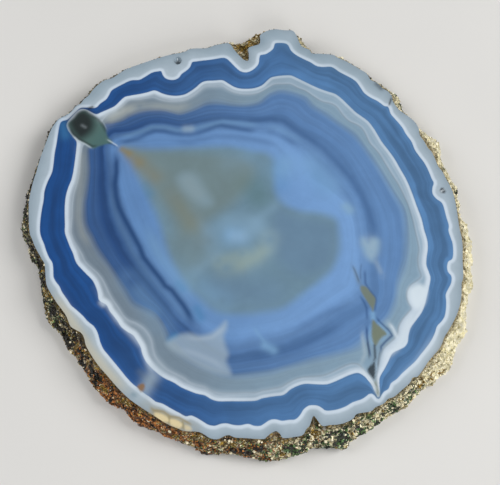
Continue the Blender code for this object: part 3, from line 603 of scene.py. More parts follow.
# Finishes: noise scales in cells a metre, where the blue fades from left to right (m), how the bands
# waver, the blue band's depth across its width, and how rough each surface is
CLOUD_SCALE = 55.0
PUFF_SCALE = 130.0
WISP_SCALE = 260.0
FADE_SPAN = (-0.03, 0.04)
BAND_WANDER = 0.05
BLUE_LEVELS = ((1.0, 0.6), (1.25, 0.45), (1.55, 0.38), (1.8, 0.62), (2.0, 0.75))
FINE_BAND_SCALE = 5.0
SKIN_SCALE = 900.0
SKIN_BUMP_MM = 0.004
BLUE_STREAKS = (40.0, 0.11)
INNER_STREAKS = (45.0, 0.12)
POLISHED = 0.13
SAWN = 0.42
ROCK_SCALE = 330.0
# Cells a metre of the painted shade in the gaps between crystals
GAP_SHADE_SCALE = 850.0
RIND_PATCH_SCALE = 700.0
RIND_CELL_SCALE = 2400.0
RIND_GRAIN_SCALE = 2600.0
RIND_BUMP_MM = 0.12
GRAIN_SKIN_SCALE = 3000.0
GRAIN_BUMP_MM = 0.03
# Heights (mm) of the band under the rim: the rind's own golden seam, darkened with painted shade of the
# recess there
SEAM_AND_SHADE_HEIGHTS = (4.7, 5.8)

# The stone's finishes, in the order of its material slots
POLISHED_SLOT, SAWN_SLOT, RIND_SLOT = range(3)

# Rock colours of the rind, each with a light and a dark tone, and the near-white of the grains' painted
# glints
ROCK_COLOURS = {
    "dark": ("2b2412", "120f07"), "gold": ("b2903a", "67511b"), "cream": ("f0e8cb", "d2c795"),
    "green": ("6f8f56", "304a2a"), "rust": ("cc8440", "633715"),
}
# Near-white of the painted glints on a few grains
PAINTED_GLINT = "fff3cf"

# Stage, in metres and watts: the floor, the room's light, the softboxes and the lens
FLOOR_HALF = 3.0
FLOOR_SCALE = 12.0
FLOOR_ROUGHNESS = 0.75
ROOM_COLOUR = (0.93, 0.96, 1.0, 1.0)
ROOM_STRENGTH = 0.27
SOFTBOXES = {
    "key_light": ((0.85, 0.12, 0.68), 0.6, 8.4),
    "fill_light": ((-0.8, 0.15, 0.62), 0.6, 3.4),
    "front_light": ((0.3, -0.85, 0.55), 0.5, 3.8),
}
SENSOR_MM = 36.0
FOCAL_MM = 57.6
CLIP_RANGE = (0.01, 20.0)


def tone(digits):
    """A linear colour from its six hexadecimal digits."""
    shares = [int(digits[place : place + 2], 16) / 255 for place in (0, 2, 4)]
    return tuple(((share + 0.055) / 1.055) ** 2.4 if share > 0.04045 else share / 12.92 for share in shares)


def opaque(colour):
    """The colour's first three parts, with nothing seen through it."""
    return (*tuple(colour)[:3], 1.0)


def colour_field(name, description, digits):
    return bpy.props.FloatVectorProperty(
        name=name, description=description, subtype="COLOR", default=tone(digits), min=0, max=1)


def length_field(name, description, default, **limits):
    return bpy.props.FloatProperty(
        name=name, description=description, default=default, unit="LENGTH", precision=5, **limits)


class AgateSizes(bpy.types.PropertyGroup):
    """How finely the stone is built."""

    face_pitch: length_field(
        "Face spacing", "Distance between points of the polished face", 0.4 * MM, min=0.2 * MM, max=3 * MM)
    back_pitch: length_field(
        "Underside spacing", "Distance between points of the sawn underside",
        0.95 * MM, min=0.4 * MM, max=5 * MM)
    wall_points: bpy.props.IntProperty(
        name="Points round the edge", description="How many points run round the stone's edge",
        default=900, min=100, max=1200)


class AgateTones(bpy.types.PropertyGroup):
    """Colours of the stone. Each band has one for its left side and one where it has faded."""

    rim: colour_field("Rim band", "Pale band at the edge", "9cacb7")
    deep_blue: colour_field("Deep blue", "Blue band where it is deepest, on the left", "124784")
    faded_blue: colour_field("Faded blue", "Blue band where it is palest, on the right", "4f78a4")
    white: colour_field("White", "White lines and the second band", "cbd8e4")
    smoke: colour_field("Smoke", "Grey inside the white band, on the left", "6f7e8b")
    pale_smoke: colour_field("Pale smoke", "Grey inside the white band, on the right", "829db1")
    ring: colour_field("Ring", "Dark ring in the inner blue, on the left", "1c4276")
    pale_ring: colour_field("Pale ring", "Ring in the inner blue, on the right", "587ead")
    inner: colour_field("Inner blue", "Clear blue round the heart, on the left", "5a82b4")
    pale_inner: colour_field("Pale inner blue", "Clear blue round the heart, on the right", "749ccd")
    heart: colour_field("Heart", "Grey-green heart of the stone", "6b899b")


class RindGrains(bpy.types.PropertyGroup):
    """Crystal grains of the rind."""

    density: bpy.props.FloatProperty(
        name="Grains per square metre", description="How thickly the grains sit on the rind",
        default=5.4e6, min=0)
    smallest: length_field("Smallest grain", "Half width of the smallest grain", 0.09 * MM, min=0)
    largest: length_field("Largest grain", "Half width of the largest grain", 0.34 * MM, min=0)
    seed: bpy.props.IntProperty(
        name="Seed", description="Which scatter of grains is used", default=7)


class StageSettings(bpy.types.PropertyGroup):
    """Floor, light and camera."""

    floor_tone: colour_field("Floor", "Colour of the pale floor", "dcdad6")
    light_share: bpy.props.FloatProperty(
        name="Light strength", description="Strength of the soft lights, where 1 is their usual power",
        default=1.0, min=0, subtype="FACTOR")
    camera_distance: length_field(
        "Camera distance", "From the lens to the polished face", 0.17778, min=0.05)
    camera_height: bpy.props.FloatProperty(
        name="Camera elevation", description="How far above level the camera looks down from",
        default=math.radians(71), subtype="ANGLE")


def closed_curve(points, count):
    """Evenly spaced points along the smooth closed curve through the given ones."""
    knots = np.array(points, float)
    before = np.roll(knots, 1, axis=0)
    after = np.roll(knots, -1, axis=0)
    beyond = np.roll(knots, -2, axis=0)
    dense = []
    for step in np.linspace(0.0, 1.0, CURVE_STEPS, endpoint=False):
        square = step * step
        cube = square * step
        dense.append(
            0.5 * (
                2 * knots
                + (after - before) * step
                + (2 * before - 5 * knots + 4 * after - beyond) * square
                + (3 * knots - before - 3 * after + beyond) * cube
            )
        )
    dense = np.stack(dense, axis=1).reshape(-1, 2)
    return evenly_spaced(dense, count)


def evenly_spaced(loop, count):
    """Points at equal steps round a closed line."""
    ring = np.vstack([loop, loop[:1]])
    travelled = length_along(ring)
    stations = np.linspace(0.0, travelled[-1], count, endpoint=False)
    return np.stack([np.interp(stations, travelled, ring[:, axis]) for axis in (0, 1)], axis=1)


def span_distance(points, starts, ends):
    """Distance from each point to the nearest of a set of straight spans."""
    best = np.full(len(points), np.inf)
    run = ends - starts
    length = np.maximum((run ** 2).sum(axis=1), TINY)
    for first in range(0, len(points), POINTS_AT_ONCE):
        part = points[first : first + POINTS_AT_ONCE]
        away_x = part[:, None, 0] - starts[None, :, 0]
        away_y = part[:, None, 1] - starts[None, :, 1]
        share = np.clip((away_x * run[:, 0] + away_y * run[:, 1]) / length, 0, 1)
        apart = (away_x - share * run[:, 0]) ** 2 + (away_y - share * run[:, 1]) ** 2
        best[first : first + POINTS_AT_ONCE] = np.sqrt(apart.min(axis=1))
    return best


def within(points, outline):
    """Whether each point lies inside a closed outline."""
    ahead = np.roll(outline, -1, axis=0)
    found = np.zeros(len(points), bool)
    for first in range(0, len(points), POINTS_AT_ONCE):
        part = points[first : first + POINTS_AT_ONCE]
        x = part[:, 0][:, None]
        y = part[:, 1][:, None]
        spans = (outline[:, 1] > y) != (ahead[:, 1] > y)
        rise = ahead[:, 1] - outline[:, 1]
        rise = np.where(rise == 0, 1.0, rise)
        crossing = outline[:, 0] + (y - outline[:, 1]) * (ahead[:, 0] - outline[:, 0]) / rise
        crossings = np.count_nonzero(spans & (crossing > x), axis=1)
        found[first : first + POINTS_AT_ONCE] = crossings % 2 == 1
    return found


def depth_inside(points, outline):
    """How far inside an outline each point is, in millimetres; less than nothing outside it."""
    apart = span_distance(points, outline, np.roll(outline, -1, axis=0))
    return np.where(within(points, outline), apart, -apart)


def smooth_step(value, low, high):
    share = np.clip((value - low) / (high - low), 0, 1)
    return share * share * (3 - 2 * share)


def length_along(line):
    """Distance from the start of a line to each of its points."""
    return np.concatenate([[0.0], np.cumsum(np.linalg.norm(np.diff(line, axis=0), axis=1))])


def clear_of_pits(points, pits, gap):
    """Whether each point keeps this far from every pit."""
    clear = np.ones(len(points), bool)
    for centre, half, _ in pits:
        clear &= (((points - centre) / (np.array(half) + gap)) ** 2).sum(axis=1) > 1
    return clear


def banding(points):
    """Attributes of the bands: the depth inside each sharp edge, and the band number."""
    depths = [depth_inside(points, closed_curve(layer, BAND_CURVE_POINTS)) for layer in LAYERS]
    number = np.zeros(len(points))
    for outer, inner in zip(depths, depths[1:]):
        number += np.clip(outer / np.maximum(outer - inner, THINNEST_BAND), 0, 1)
    number += np.clip(depths[-1] / HEART_REACH, 0, 1)
    fields = {name: depths[layer] for layer, name in EDGE_NAMES.items()}
    fields["band"] = number
    return fields


def touching(points):
    """How strongly each tone is laid over the bands at each point."""
    laid = {name: np.zeros(len(points)) for name in TONES}
    for kind, name, strength, soft, path in TOUCHES:
        line = np.array(path, float)
        if kind == "patch":
            depth = depth_inside(points, closed_curve(path, PATCH_STEPS * len(path)))
            amount = smooth_step(depth, -soft, soft)
        else:
            amount = np.exp(-((span_distance(points, line[:-1], line[1:]) / soft) ** 2))
            taper = min(TAPER_REACH * soft, TAPER_SHARE * length_along(line)[-1])
            for end in (line[0], line[-1]) if len(line) > 2 else ():
                apart = np.linalg.norm(points - end, axis=1)
                amount *= smooth_step(apart, -TAPER_OVERRUN * soft, taper)
        laid[name] = 1 - (1 - laid[name]) * (1 - strength * amount)
    return laid


def foot_under(rim):
    """The point of the underside's edge that each rim point leads down to, on the same bearing."""
    centre = np.array(BEARING_CENTRE)
    away = rim - centre
    bearing = np.unwrap(np.arctan2(away[:, 1], away[:, 0]))
    turn = 2 * math.pi * np.sign(bearing[-1] - bearing[0])
    wrapped = np.concatenate([bearing - turn, bearing, bearing + turn])
    spread = round(BEARING_SPREAD * len(rim))
    window = np.ones(2 * spread + 1) / (2 * spread + 1)
    even = np.convolve(wrapped, window, mode="same")[len(rim) : 2 * len(rim)]
    edge = closed_curve(FOOT, FOOT_FINENESS * len(rim)) - centre
    edge_bearing = np.arctan2(edge[:, 1], edge[:, 0])
    order = np.argsort(edge_bearing)
    reach = np.interp(
        np.mod(even + math.pi, 2 * math.pi) - math.pi,
        edge_bearing[order],
        np.linalg.norm(edge, axis=1)[order],
        period=2 * math.pi,
    )
    return centre + reach[:, None] * np.stack([np.cos(even), np.sin(even)], axis=1)


def shelf_height(x, y):
    """How high the rind's shelf stands here, in millimetres above the underside."""
    height = PLAIN_SHELF + SHELF_WAVER_MM * noise.noise(Vector((x, y, 0.0)) * SHELF_WAVER_RATE)
    for (shelf_x, shelf_y), width, level in SHELVES:
        near = math.exp(-((x - shelf_x) ** 2 + (y - shelf_y) ** 2) / width**2)
        height += (level - height) * near
    return height


def roughness(x, y, z):
    """Outward push of the rind at a point, in millimetres: broad swells and flat facets."""
    place = Vector((x, y, HEIGHT_STRETCH * z))
    push = SWELL_MM * noise.noise(place / SWELL_PITCH)
    cells = noise.voronoi(place / FACET_PITCH)[1]
    offset = place - cells[0] * FACET_PITCH
    slope = Vector([
        noise.noise(cells[0] * FACET_SLOPE_RATE + Vector(seed)) for seed in FACET_SLOPE_SEEDS])
    push += FACET_TILT * offset.dot(slope)
    push += FACET_STEP * noise.noise(cells[0] * FACET_STEP_RATE)
    return push - MEAN_SINK


def chipping(x, y, z):
    """Fine facets and grit on the rind, in millimetres."""
    place = Vector((x, y, z))
    chip = noise.voronoi(place / CHIP_PITCH)[1][0]
    return CHIP_MM * noise.noise(chip * CHIP_RATE) + GRIT_MM * noise.noise(place / GRIT_PITCH)


def wall_rings(count):
    """Rings of points down the rind, from the polished face's edge to the underside's edge."""
    rim = closed_curve(RIM, count)
    foot = foot_under(rim)
    along = np.roll(foot, -1, axis=0) - np.roll(foot, 1, axis=0)
    outward = np.stack([-along[:, 1], along[:, 0]], axis=1)
    outward /= np.linalg.norm(outward, axis=1)[:, None]
    tall = THICKNESS / MM
    rings = []
    for level in ROW_HEIGHTS:
        z = level * tall
        ring = []
        for (rim_x, rim_y), (foot_x, foot_y), (out_x, out_y) in zip(rim, foot, outward):
            drop = (tall - z) / (tall - SHELF_SHARE * shelf_height(rim_x, rim_y))
            across = min(1.0, drop) ** FLARE_POWER
            x = rim_x + (foot_x - rim_x) * across
            y = rim_y + (foot_y - rim_y) * across
            fade = min(1.0, ROUGHNESS_ONSET * (1.0 - level)) * (BOTTOM_ROUGHNESS if level == 0.0 else 1.0)
            push = fade * roughness(x, y, z) + min(1.0, CHIP_ONSET * (1.0 - level)) * chipping(x, y, z)
            ring.append((x + out_x * push, y + out_y * push, z))
        rings.append(ring)
    return rings


def pit_points():
    """Rings of points down each pit, with their depths, and its lowest point."""
    points = []
    for (centre_x, centre_y), (half_x, half_y), depth in PITS:
        for share, sunk in PIT_RINGS:
            for side in range(PIT_SIDES):
                angle = 2 * math.pi * (side + 0.5 * sunk) / PIT_SIDES
                points.append((
                    centre_x + share * half_x * math.cos(angle),
                    centre_y + share * half_y * math.sin(angle),
                    sunk * depth))
        points.append((centre_x, centre_y, depth))
    return points


def grid_points(outline, pitch, pits):
    """Staggered points over a face, clear of its edge and of the pits."""
    low = outline.min(axis=0)
    high = outline.max(axis=0)
    rows = np.arange(low[1], high[1], pitch * ROW_SPACING)
    columns = np.arange(low[0], high[0], pitch)
    across, up = np.meshgrid(columns, rows)
    across = across + 0.5 * pitch * (np.arange(len(rows)) % 2)[:, None]
    points = np.stack([across.ravel(), up.ravel()], axis=1)
    keep = depth_inside(points, outline) > EDGE_CLEARANCE * pitch
    keep &= clear_of_pits(points, pits, 0.5 * pitch)
    return [(x, y, 0.0) for x, y in points[keep]]


def thread_points(outline):
    """Extra points along the finest strokes of the face, so that these stay crisp."""
    found = []
    for kind, _, _, soft, path in TOUCHES:
        if kind != "stroke" or soft > FINE_STROKE:
            continue
        line = np.array(path, float)
        travelled = length_along(line)
        stations = np.arange(0.0, travelled[-1], THREAD_STEP)
        middle = np.stack([np.interp(stations, travelled, line[:, axis]) for axis in (0, 1)], axis=1)
        along = np.gradient(middle, axis=0)
        across = np.stack([-along[:, 1], along[:, 0]], axis=1) / np.linalg.norm(along, axis=1)[:, None]
        found += [middle + across * share * soft for share in THREAD_SIDES]
    points = np.vstack(found)
    keep = (depth_inside(points, outline) > THREAD_STEP) & clear_of_pits(points, PITS, THREAD_STEP)
    return [(x, y, 0.0) for x, y in points[keep]]


def stone_point(x, y, z):
    """A point in millimetres from the outlines' middle, as metres from the stone's origin."""
    return ((x + OUTLINE_TO_ORIGIN[0]) * MM, (y + OUTLINE_TO_ORIGIN[1]) * MM, z * MM)


class StoneMesh:
    """Points and faces of the stone as they are laid down."""

    def __init__(self):
        self.points = []
        self.faces = []
        self.slots = []

    def add_points(self, points):
        first = len(self.points)
        self.points.extend(points)
        return list(range(first, len(self.points)))

    def add_wall(self, rows):
        """Joins each row of points to the next with triangles, cut across in turn one way and the other."""
        count = len(rows[0])
        for upper, lower in zip(rows, rows[1:]):
            for index in range(count):
                ahead = (index + 1) % count
                corners = (upper[index], upper[ahead], lower[ahead], lower[index])
                if index % 2:
                    self.faces += [corners[:3], (corners[0], corners[2], corners[3])]
                else:
                    self.faces += [(corners[0], corners[1], corners[3]), corners[1:]]
                self.slots += [RIND_SLOT] * 2

    def add_face(self, ring, row, inner, upward, slot):
        """Fills a ring with triangles through the inner points."""
        flat = [Vector(point[:2]) for point in ring] + [Vector(point[:2]) for point in inner]
        found = geometry.delaunay_2d_cdt(flat, [], [list(range(len(ring)))], 1, MERGE_WITHIN)
        level = ring[0][2]
        index_of = []
        for place, source in zip(found[0], found[3]):
            index = min(source)
            if index < len(ring):
                index_of.append(row[index])
                continue
            index_of.append(len(self.points))
            self.points.append((place.x, place.y, level - inner[index - len(ring)][2]))
        for triangle in found[2]:
            corners = [index_of[corner] for corner in triangle]
            self.faces.append(corners if upward else corners[::-1])
            self.slots.append(slot)


def shares_at(points, table, names):
    """Named shares at each point, eased between the places of a table."""
    places = np.array([place for place, _, _ in table], float)
    reach = np.array([width for _, width, _ in table])
    shares = np.array([share for _, _, share in table])
    apart = ((points[:, None, :2] - places[None]) ** 2).sum(axis=2)
    weight = np.exp(-apart / reach**2) + TINY
    mixed = weight @ shares / weight.sum(axis=1)[:, None]
    return dict(zip(names, mixed.T))


def store(mesh, fields):
    """Keeps values on the mesh's points, as named attributes for the finishes to read."""
    for name, values in fields.items():
        layer = mesh.attributes.new(name, "FLOAT", "POINT")
        layer.data.foreach_set("value", np.asarray(values, np.float32))


def feed(tree, socket, value):
    """Links an input to another node's output, or gives it a plain value."""
    if isinstance(value, bpy.types.NodeSocket):
        tree.links.new(value, socket)
    elif value is not None:
        socket.default_value = value


def lay_node(tree, kind, inputs=(), **settings):
    """Adds a node with its settings and its inputs."""
    made = tree.nodes.new(kind)
    for name, value in settings.items():
        setattr(made, name, value)
    for socket, value in dict(inputs).items():
        feed(tree, made.inputs[socket], value)
    return made


class NodeDesk:
    """Lays out the nodes of one finish."""

    def __init__(self, name):
        self.material = bpy.data.materials.new(name)
        self.material.use_nodes = True
        self.tree = self.material.node_tree
        self.shader = self.tree.nodes["Principled BSDF"]
        self.feed = functools.partial(feed, self.tree)
        self.node = functools.partial(lay_node, self.tree)

    def amount(self, name):
        return self.node("ShaderNodeAttribute", attribute_name=name).outputs["Fac"]

    def place(self):
        return self.node("ShaderNodeTexCoord").outputs["Object"]

    def maths(self, operation, first, second, third=None):
        return self.node("ShaderNodeMath", {0: first, 1: second, 2: third}, operation=operation).outputs[0]

    def nudged(self, value, push, amount):
        """The value with an amount of some noise added to it."""
        return self.maths("MULTIPLY_ADD", push, amount, value)

    def step(self, value, low, high, start=0.0, end=1.0):
        """Smooth rise from start to end as the value goes from low to high."""
        inputs = {"Value": value, "From Min": low, "From Max": high, "To Min": start, "To Max": end}
        return self.node("ShaderNodeMapRange", inputs, interpolation_type="SMOOTHSTEP").outputs["Result"]

    def ridge(self, value, rise, fall):
        """One from the end of the rise to the start of the fall, and nothing beyond them."""
        return self.maths("MULTIPLY", self.step(value, *rise), self.step(value, *fall, 1.0, 0.0))

    def blend(self, share, first, second):
        inputs = {0: share, 6: first, 7: second}
        return self.node("ShaderNodeMix", inputs, data_type="RGBA").outputs[2]

    def shade(self, colour, amount):
        """The colour made lighter or darker by a factor round one."""
        base = colour[:3] if isinstance(colour, tuple) else colour
        return self.node("ShaderNodeVectorMath", {0: base, 3: amount}, operation="SCALE").outputs[0]

    def mottled(self, colour, noise, amount):
        """The colour made a little lighter and darker from place to place."""
        return self.shade(colour, self.step(noise, 0.3, 0.7, 1 - amount, 1 + amount))

    def speckle(self, place, scale, detail=2.0, roughness=0.5, distortion=0.0):
        inputs = {"Vector": place, "Scale": scale, "Detail": detail, "Roughness": roughness,
                  "Distortion": distortion}
        return self.node("ShaderNodeTexNoise", inputs).outputs["Fac"]

    def streaks(self, place, number, scale, pace):
        """Noise that changes fast from band to band and slowly along them."""
        inputs = {"Vector": place, "W": self.maths("MULTIPLY", number, pace), "Scale": scale, "Detail": 2.0}
        return self.node("ShaderNodeTexNoise", inputs, noise_dimensions="4D").outputs["Fac"]

    def cells(self, place, scale, feature="F1"):
        return self.node("ShaderNodeTexVoronoi", {"Vector": place, "Scale": scale}, feature=feature)

    def ramp(self, value, stops):
        made = self.node("ShaderNodeValToRGB", {0: value})
        elements = made.color_ramp.elements
        while len(elements) < len(stops):
            elements.new(0.5)
        for element, (position, colour) in zip(elements, stops):
            element.position = position
            element.color = opaque(colour)
        return made.outputs["Color"]

    def finish(self, colour, roughness, bump_height=None, bump_mm=0.0, **constants):
        self.feed(self.shader.inputs["Base Color"], colour)
        self.feed(self.shader.inputs["Roughness"], roughness)
        if bump_height is not None:
            inputs = {"Height": bump_height, "Distance": bump_mm * MM, "Strength": 1.0}
            self.feed(self.shader.inputs["Normal"], self.node("ShaderNodeBump", inputs).outputs["Normal"])
        for name, value in constants.items():
            self.shader.inputs[name].default_value = value
        return self.material


def between(first, second, share):
    """A colour part of the way from the first to the second."""
    return tuple(a + (b - a) * share for a, b in zip(tuple(first)[:3], tuple(second)[:3]))


def band_stops(tones, west):
    """Colour against band number, for the deep left side or for the faded right side."""
    blue = tones.deep_blue if west else tones.faded_blue
    smoke = tones.smoke if west else tones.pale_smoke
    ring = tones.ring if west else tones.pale_ring
    inner = tones.inner if west else tones.pale_inner
    stops = (
        (0.0, between(tones.rim, tones.smoke, 0.3)),
        (0.35, tones.rim),
        (0.98, between(tones.rim, tones.white, 0.4)),
        (1.02, blue),
        (2.0, blue),
        (2.04, between(smoke, tones.white, 0.6)),
        (2.98, between(smoke, tones.white, 0.5)),
        (3.1, between(smoke, tones.white, 0.12)),
        (3.25, smoke),
        (3.7, smoke),
        (3.98, between(smoke, ring, 0.4)),
        (4.2, between(ring, inner, 0.18)),
        (4.6, between(ring, inner, 0.2)),
        (4.92, ring),
        (5.08, ring),
        (5.25, between(ring, inner, 0.5)),
        (5.55, inner),
    )
    return [(number / LAST_BAND, colour) for number, colour in stops]


class AgateField:
    """What the parts of the agate's finish share: its place, its noises and its band number."""

    def __init__(self, desk):
        self.place = desk.place()
        self.clouds = desk.speckle(self.place, CLOUD_SCALE, 3.0, 0.55)
        self.puffs = desk.speckle(self.place, PUFF_SCALE, 2.0, 0.5, 0.6)
        self.wisps = desk.speckle(self.place, WISP_SCALE, 3.0, 0.6, 0.4)
        across = desk.node("ShaderNodeSeparateXYZ", {0: self.place}).outputs["X"]
        self.faded = desk.step(desk.nudged(across, self.clouds, 0.02), *FADE_SPAN)
        self.number = desk.amount("band")
        self.wander = desk.nudged(self.number, desk.maths("SUBTRACT", self.wisps, 0.5), BAND_WANDER)
        self.share = desk.maths("DIVIDE", self.wander, LAST_BAND)


def blue_band(desk, field, tones):
    """The deep blue band, darkest in its middle and streaked along its way."""
    blue = desk.blend(field.faded, opaque(tones.deep_blue), opaque(tones.faded_blue))
    blue = desk.mottled(blue, field.puffs, 0.05)
    streaks = desk.streaks(field.place, field.wander, *BLUE_STREAKS)
    blue = desk.shade(blue, desk.step(streaks, 0.34, 0.66, 0.84, 1.16))
    middle = desk.ramp(field.share, [(number / LAST_BAND, (level,) * 3) for number, level in BLUE_LEVELS])
    return desk.shade(blue, desk.step(middle, 0.3, 0.8, 0.86, 1.16))


def with_edges(desk, field, tones, colour):
    """Lays the blue and the white band and their crisp lines, by the depth inside each edge in mm."""
    blue_depth = desk.amount("blue_depth")
    white_depth = desk.amount("white_depth")
    smoke_depth = desk.amount("smoke_depth")
    whiteness = desk.amount("whiteness")
    white = opaque(tones.white)
    grey = desk.blend(field.faded, opaque(tones.smoke), opaque(tones.pale_smoke))

    in_blue = desk.maths(
        "MULTIPLY", desk.step(blue_depth, -0.05, 0.22), desk.step(white_depth, -0.45, -0.05, 1.0, 0.0))
    colour = desk.blend(in_blue, colour, blue_band(desk, field, tones))
    outer_line = desk.ridge(blue_depth, (-1.0, -0.35), (-0.1, 0.2))
    colour = desk.blend(desk.maths("MULTIPLY", outer_line, 0.9), colour, white)

    in_white = desk.maths(
        "MULTIPLY", desk.step(white_depth, -0.25, 0.15), desk.step(smoke_depth, -0.9, 0.5, 1.0, 0.0))
    plain = desk.step(whiteness, 0.0, 1.0, 0.85, 0.15)
    greying = desk.maths(
        "MULTIPLY", desk.step(white_depth, 0.3, 1.5, 0.0, 0.85), desk.step(whiteness, 0.98, 1.1, 1.0, 0.0))
    body = desk.blend(desk.maths("MAXIMUM", plain, greying), white, grey)
    colour = desk.blend(in_white, colour, body)
    inner_line = desk.ridge(white_depth, (-0.25, 0.12), (0.3, 0.8))
    inner_share = desk.maths("MULTIPLY", inner_line, desk.step(whiteness, 0.0, 0.6, 0.4, 0.9))
    colour = desk.blend(inner_share, colour, white)

    shadow_line = desk.ridge(smoke_depth, (-0.25, 0.05), (0.1, 0.5))
    faded_shadow = desk.maths("MULTIPLY", shadow_line, field.faded)
    return desk.shade(colour, desk.step(faded_shadow, 0.0, 1.0, 1.0, 0.8))


def with_fine_bands(desk, field, colour):
    """Lays the fine bands inside the white one, and the ripples that run along them."""
    inputs = {"W": field.wander, "Scale": FINE_BAND_SCALE, "Detail": 2.0, "Roughness": 0.5}
    fine = desk.node("ShaderNodeTexNoise", inputs, noise_dimensions="1D").outputs["Fac"]
    begun = desk.step(field.number, 3.4, 4.4, 0.16, 0.9)
    strength = desk.maths("MULTIPLY", desk.step(field.faded, 0.1, 0.8, 1.0, 0.3), begun)
    strength = desk.maths("MULTIPLY", strength, desk.step(field.number, 5.4, 6.0, 1.0, 0.2))
    streak = desk.maths("MULTIPLY", desk.step(fine, 0.3, 0.7, -0.09, 0.09), strength)
    colour = desk.shade(colour, desk.maths("ADD", streak, 1.0))
    streaks = desk.streaks(field.place, field.wander, *INNER_STREAKS)
    inside = desk.maths(
        "MULTIPLY", desk.step(field.number, 3.2, 3.9), desk.step(field.number, 5.2, 6.2, 1.0, 0.15))
    ripple = desk.maths("MULTIPLY", desk.step(streaks, 0.36, 0.64, -0.065, 0.065), inside)
    return desk.shade(colour, desk.maths("ADD", ripple, 1.0))


def agate_finish(name, tones, roughness):
    """Banded agate: smooth bands, crisp edges, fine bands and the heart, with the touches over them."""
    desk = NodeDesk(name)
    field = AgateField(desk)
    west = desk.ramp(field.share, band_stops(tones, True))
    east = desk.ramp(field.share, band_stops(tones, False))
    colour = desk.blend(field.faded, west, east)
    colour = with_edges(desk, field, tones, colour)
    colour = with_fine_bands(desk, field, colour)
    heart = desk.mottled(tuple(tones.heart), field.puffs, 0.05)
    heart_depth = desk.nudged(desk.amount("heart_depth"), desk.maths("SUBTRACT", field.clouds, 0.5), 2.5)
    colour = desk.blend(desk.step(heart_depth, -1.5, 1.3), colour, heart)
    colour = desk.mottled(colour, field.wisps, 0.03)
    for touch, digits in TONES.items():
        colour = desk.blend(desk.amount(touch), colour, opaque(tone(digits)))
    skin = desk.step(field.wisps, 0.2, 0.8, roughness, roughness + 0.06)
    bumps = desk.speckle(field.place, SKIN_SCALE, 2.0)
    return desk.finish(
        colour, skin, bumps, SKIN_BUMP_MM, **{"Coat Weight": 0.3, "Coat Roughness": 0.06})


def rock_colour(desk, place, chance, tint):
    """Rock colour. Broad patches take the minerals in their shares, and chance breaks their edges. Painted
    shade darkens the gaps between crystal cells, and the band just under the rim turns golden and darker,
    partly with painted shade.
    """
    def tones_of(rock):
        light, dark = (opaque(tone(digits)) for digits in ROCK_COLOURS[rock])
        return desk.blend(tint, light, dark)

    flat = desk.node("ShaderNodeMapping", {"Vector": place, "Scale": (1.0, 1.0, 1.9)}).outputs[0]
    patch = desk.step(desk.speckle(flat, ROCK_SCALE, 3.0, 0.6, 0.4), 0.3, 0.7)
    pick = desk.maths("ADD", desk.maths("MULTIPLY", patch, 0.78), desk.maths("MULTIPLY", chance, 0.22))
    colour = tones_of("dark")
    reached = None
    for rock in ROCKS:
        start = reached
        reached = desk.amount(rock) if start is None else desk.maths("ADD", start, desk.amount(rock))
        chosen = desk.maths("LESS_THAN", pick, reached)
        if start is not None:
            chosen = desk.maths("MULTIPLY", chosen, desk.maths("GREATER_THAN", pick, start))
        colour = desk.blend(chosen, colour, tones_of(rock))
    height = desk.node("ShaderNodeSeparateXYZ", {0: place}).outputs["Z"]
    # The band just under the rim: the rind's own golden seam, and painted shade of the recess there
    seam_and_shade = desk.step(height, *(level * MM for level in SEAM_AND_SHADE_HEIGHTS))
    colour = desk.blend(desk.maths("MULTIPLY", seam_and_shade, 0.5), colour, tones_of("gold"))
    # Painted shade in the gaps between crystal cells, lighter where the rind is cream
    cell_edge_distance = desk.cells(place, GAP_SHADE_SCALE, "DISTANCE_TO_EDGE").outputs["Distance"]
    deepest_gap_shade = desk.step(desk.amount("cream"), 0.3, 0.9, 0.3, 0.85)
    gap_painted_shade = desk.step(cell_edge_distance, 0.02, 0.16, deepest_gap_shade, 1.0)
    colour = desk.shade(colour, gap_painted_shade)
    # Painted shade: darker in the band under the rim
    return desk.shade(colour, desk.step(seam_and_shade, 0.0, 1.0, 1.0, 0.62))


def rind_finish():
    """Rough rock of the rind, broken into small crystal cells."""
    desk = NodeDesk("rough_rind")
    place = desk.place()
    crystals = desk.cells(place, RIND_CELL_SCALE)
    parts = desk.node("ShaderNodeSeparateColor", {0: crystals.outputs["Color"]})
    colour = rock_colour(desk, place, parts.outputs[0], parts.outputs[1])
    patches = desk.speckle(place, RIND_PATCH_SCALE, 3.0, 0.6)
    colour = desk.shade(colour, desk.step(patches, 0.3, 0.7, 0.7, 1.2))
    grit = desk.speckle(place, RIND_GRAIN_SCALE, 3.0, 0.7)
    height = desk.maths("ADD", crystals.outputs["Distance"], grit)
    return desk.finish(colour, desk.step(patches, 0.3, 0.8, 0.3, 0.7), height, RIND_BUMP_MM)


def grain_finish():
    """Crystal grains: each takes the rock under it, and a few of them carry a near-white painted glint."""
    desk = NodeDesk("rind_grains")
    place = desk.place()
    pick = desk.amount("grain_pick")
    tint = desk.amount("grain_tint")
    colour = rock_colour(desk, place, pick, tint)
    colour = desk.shade(colour, desk.step(tint, 0.0, 1.0, 1.3, 0.6))
    # Painted glint: a few grains are turned near white to stand for sparkle
    painted_glint_share = desk.step(pick, 0.93, 0.96)
    colour = desk.blend(desk.maths("MULTIPLY", painted_glint_share, 0.9), colour, opaque(tone(PAINTED_GLINT)))
    gloss = desk.step(desk.maths("FRACT", desk.maths("MULTIPLY", tint, 7.0), None), 0.0, 1.0, 0.15, 0.55)
    bumps = desk.speckle(place, GRAIN_SKIN_SCALE, 2.0)
    return desk.finish(colour, gloss, bumps, GRAIN_BUMP_MM, **{"Specular IOR Level": 0.5})


def finished(piece):
    """Links a finished piece of the stone and lets it ride with the stone."""
    bpy.context.scene.collection.objects.link(piece)
    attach(piece, "root")


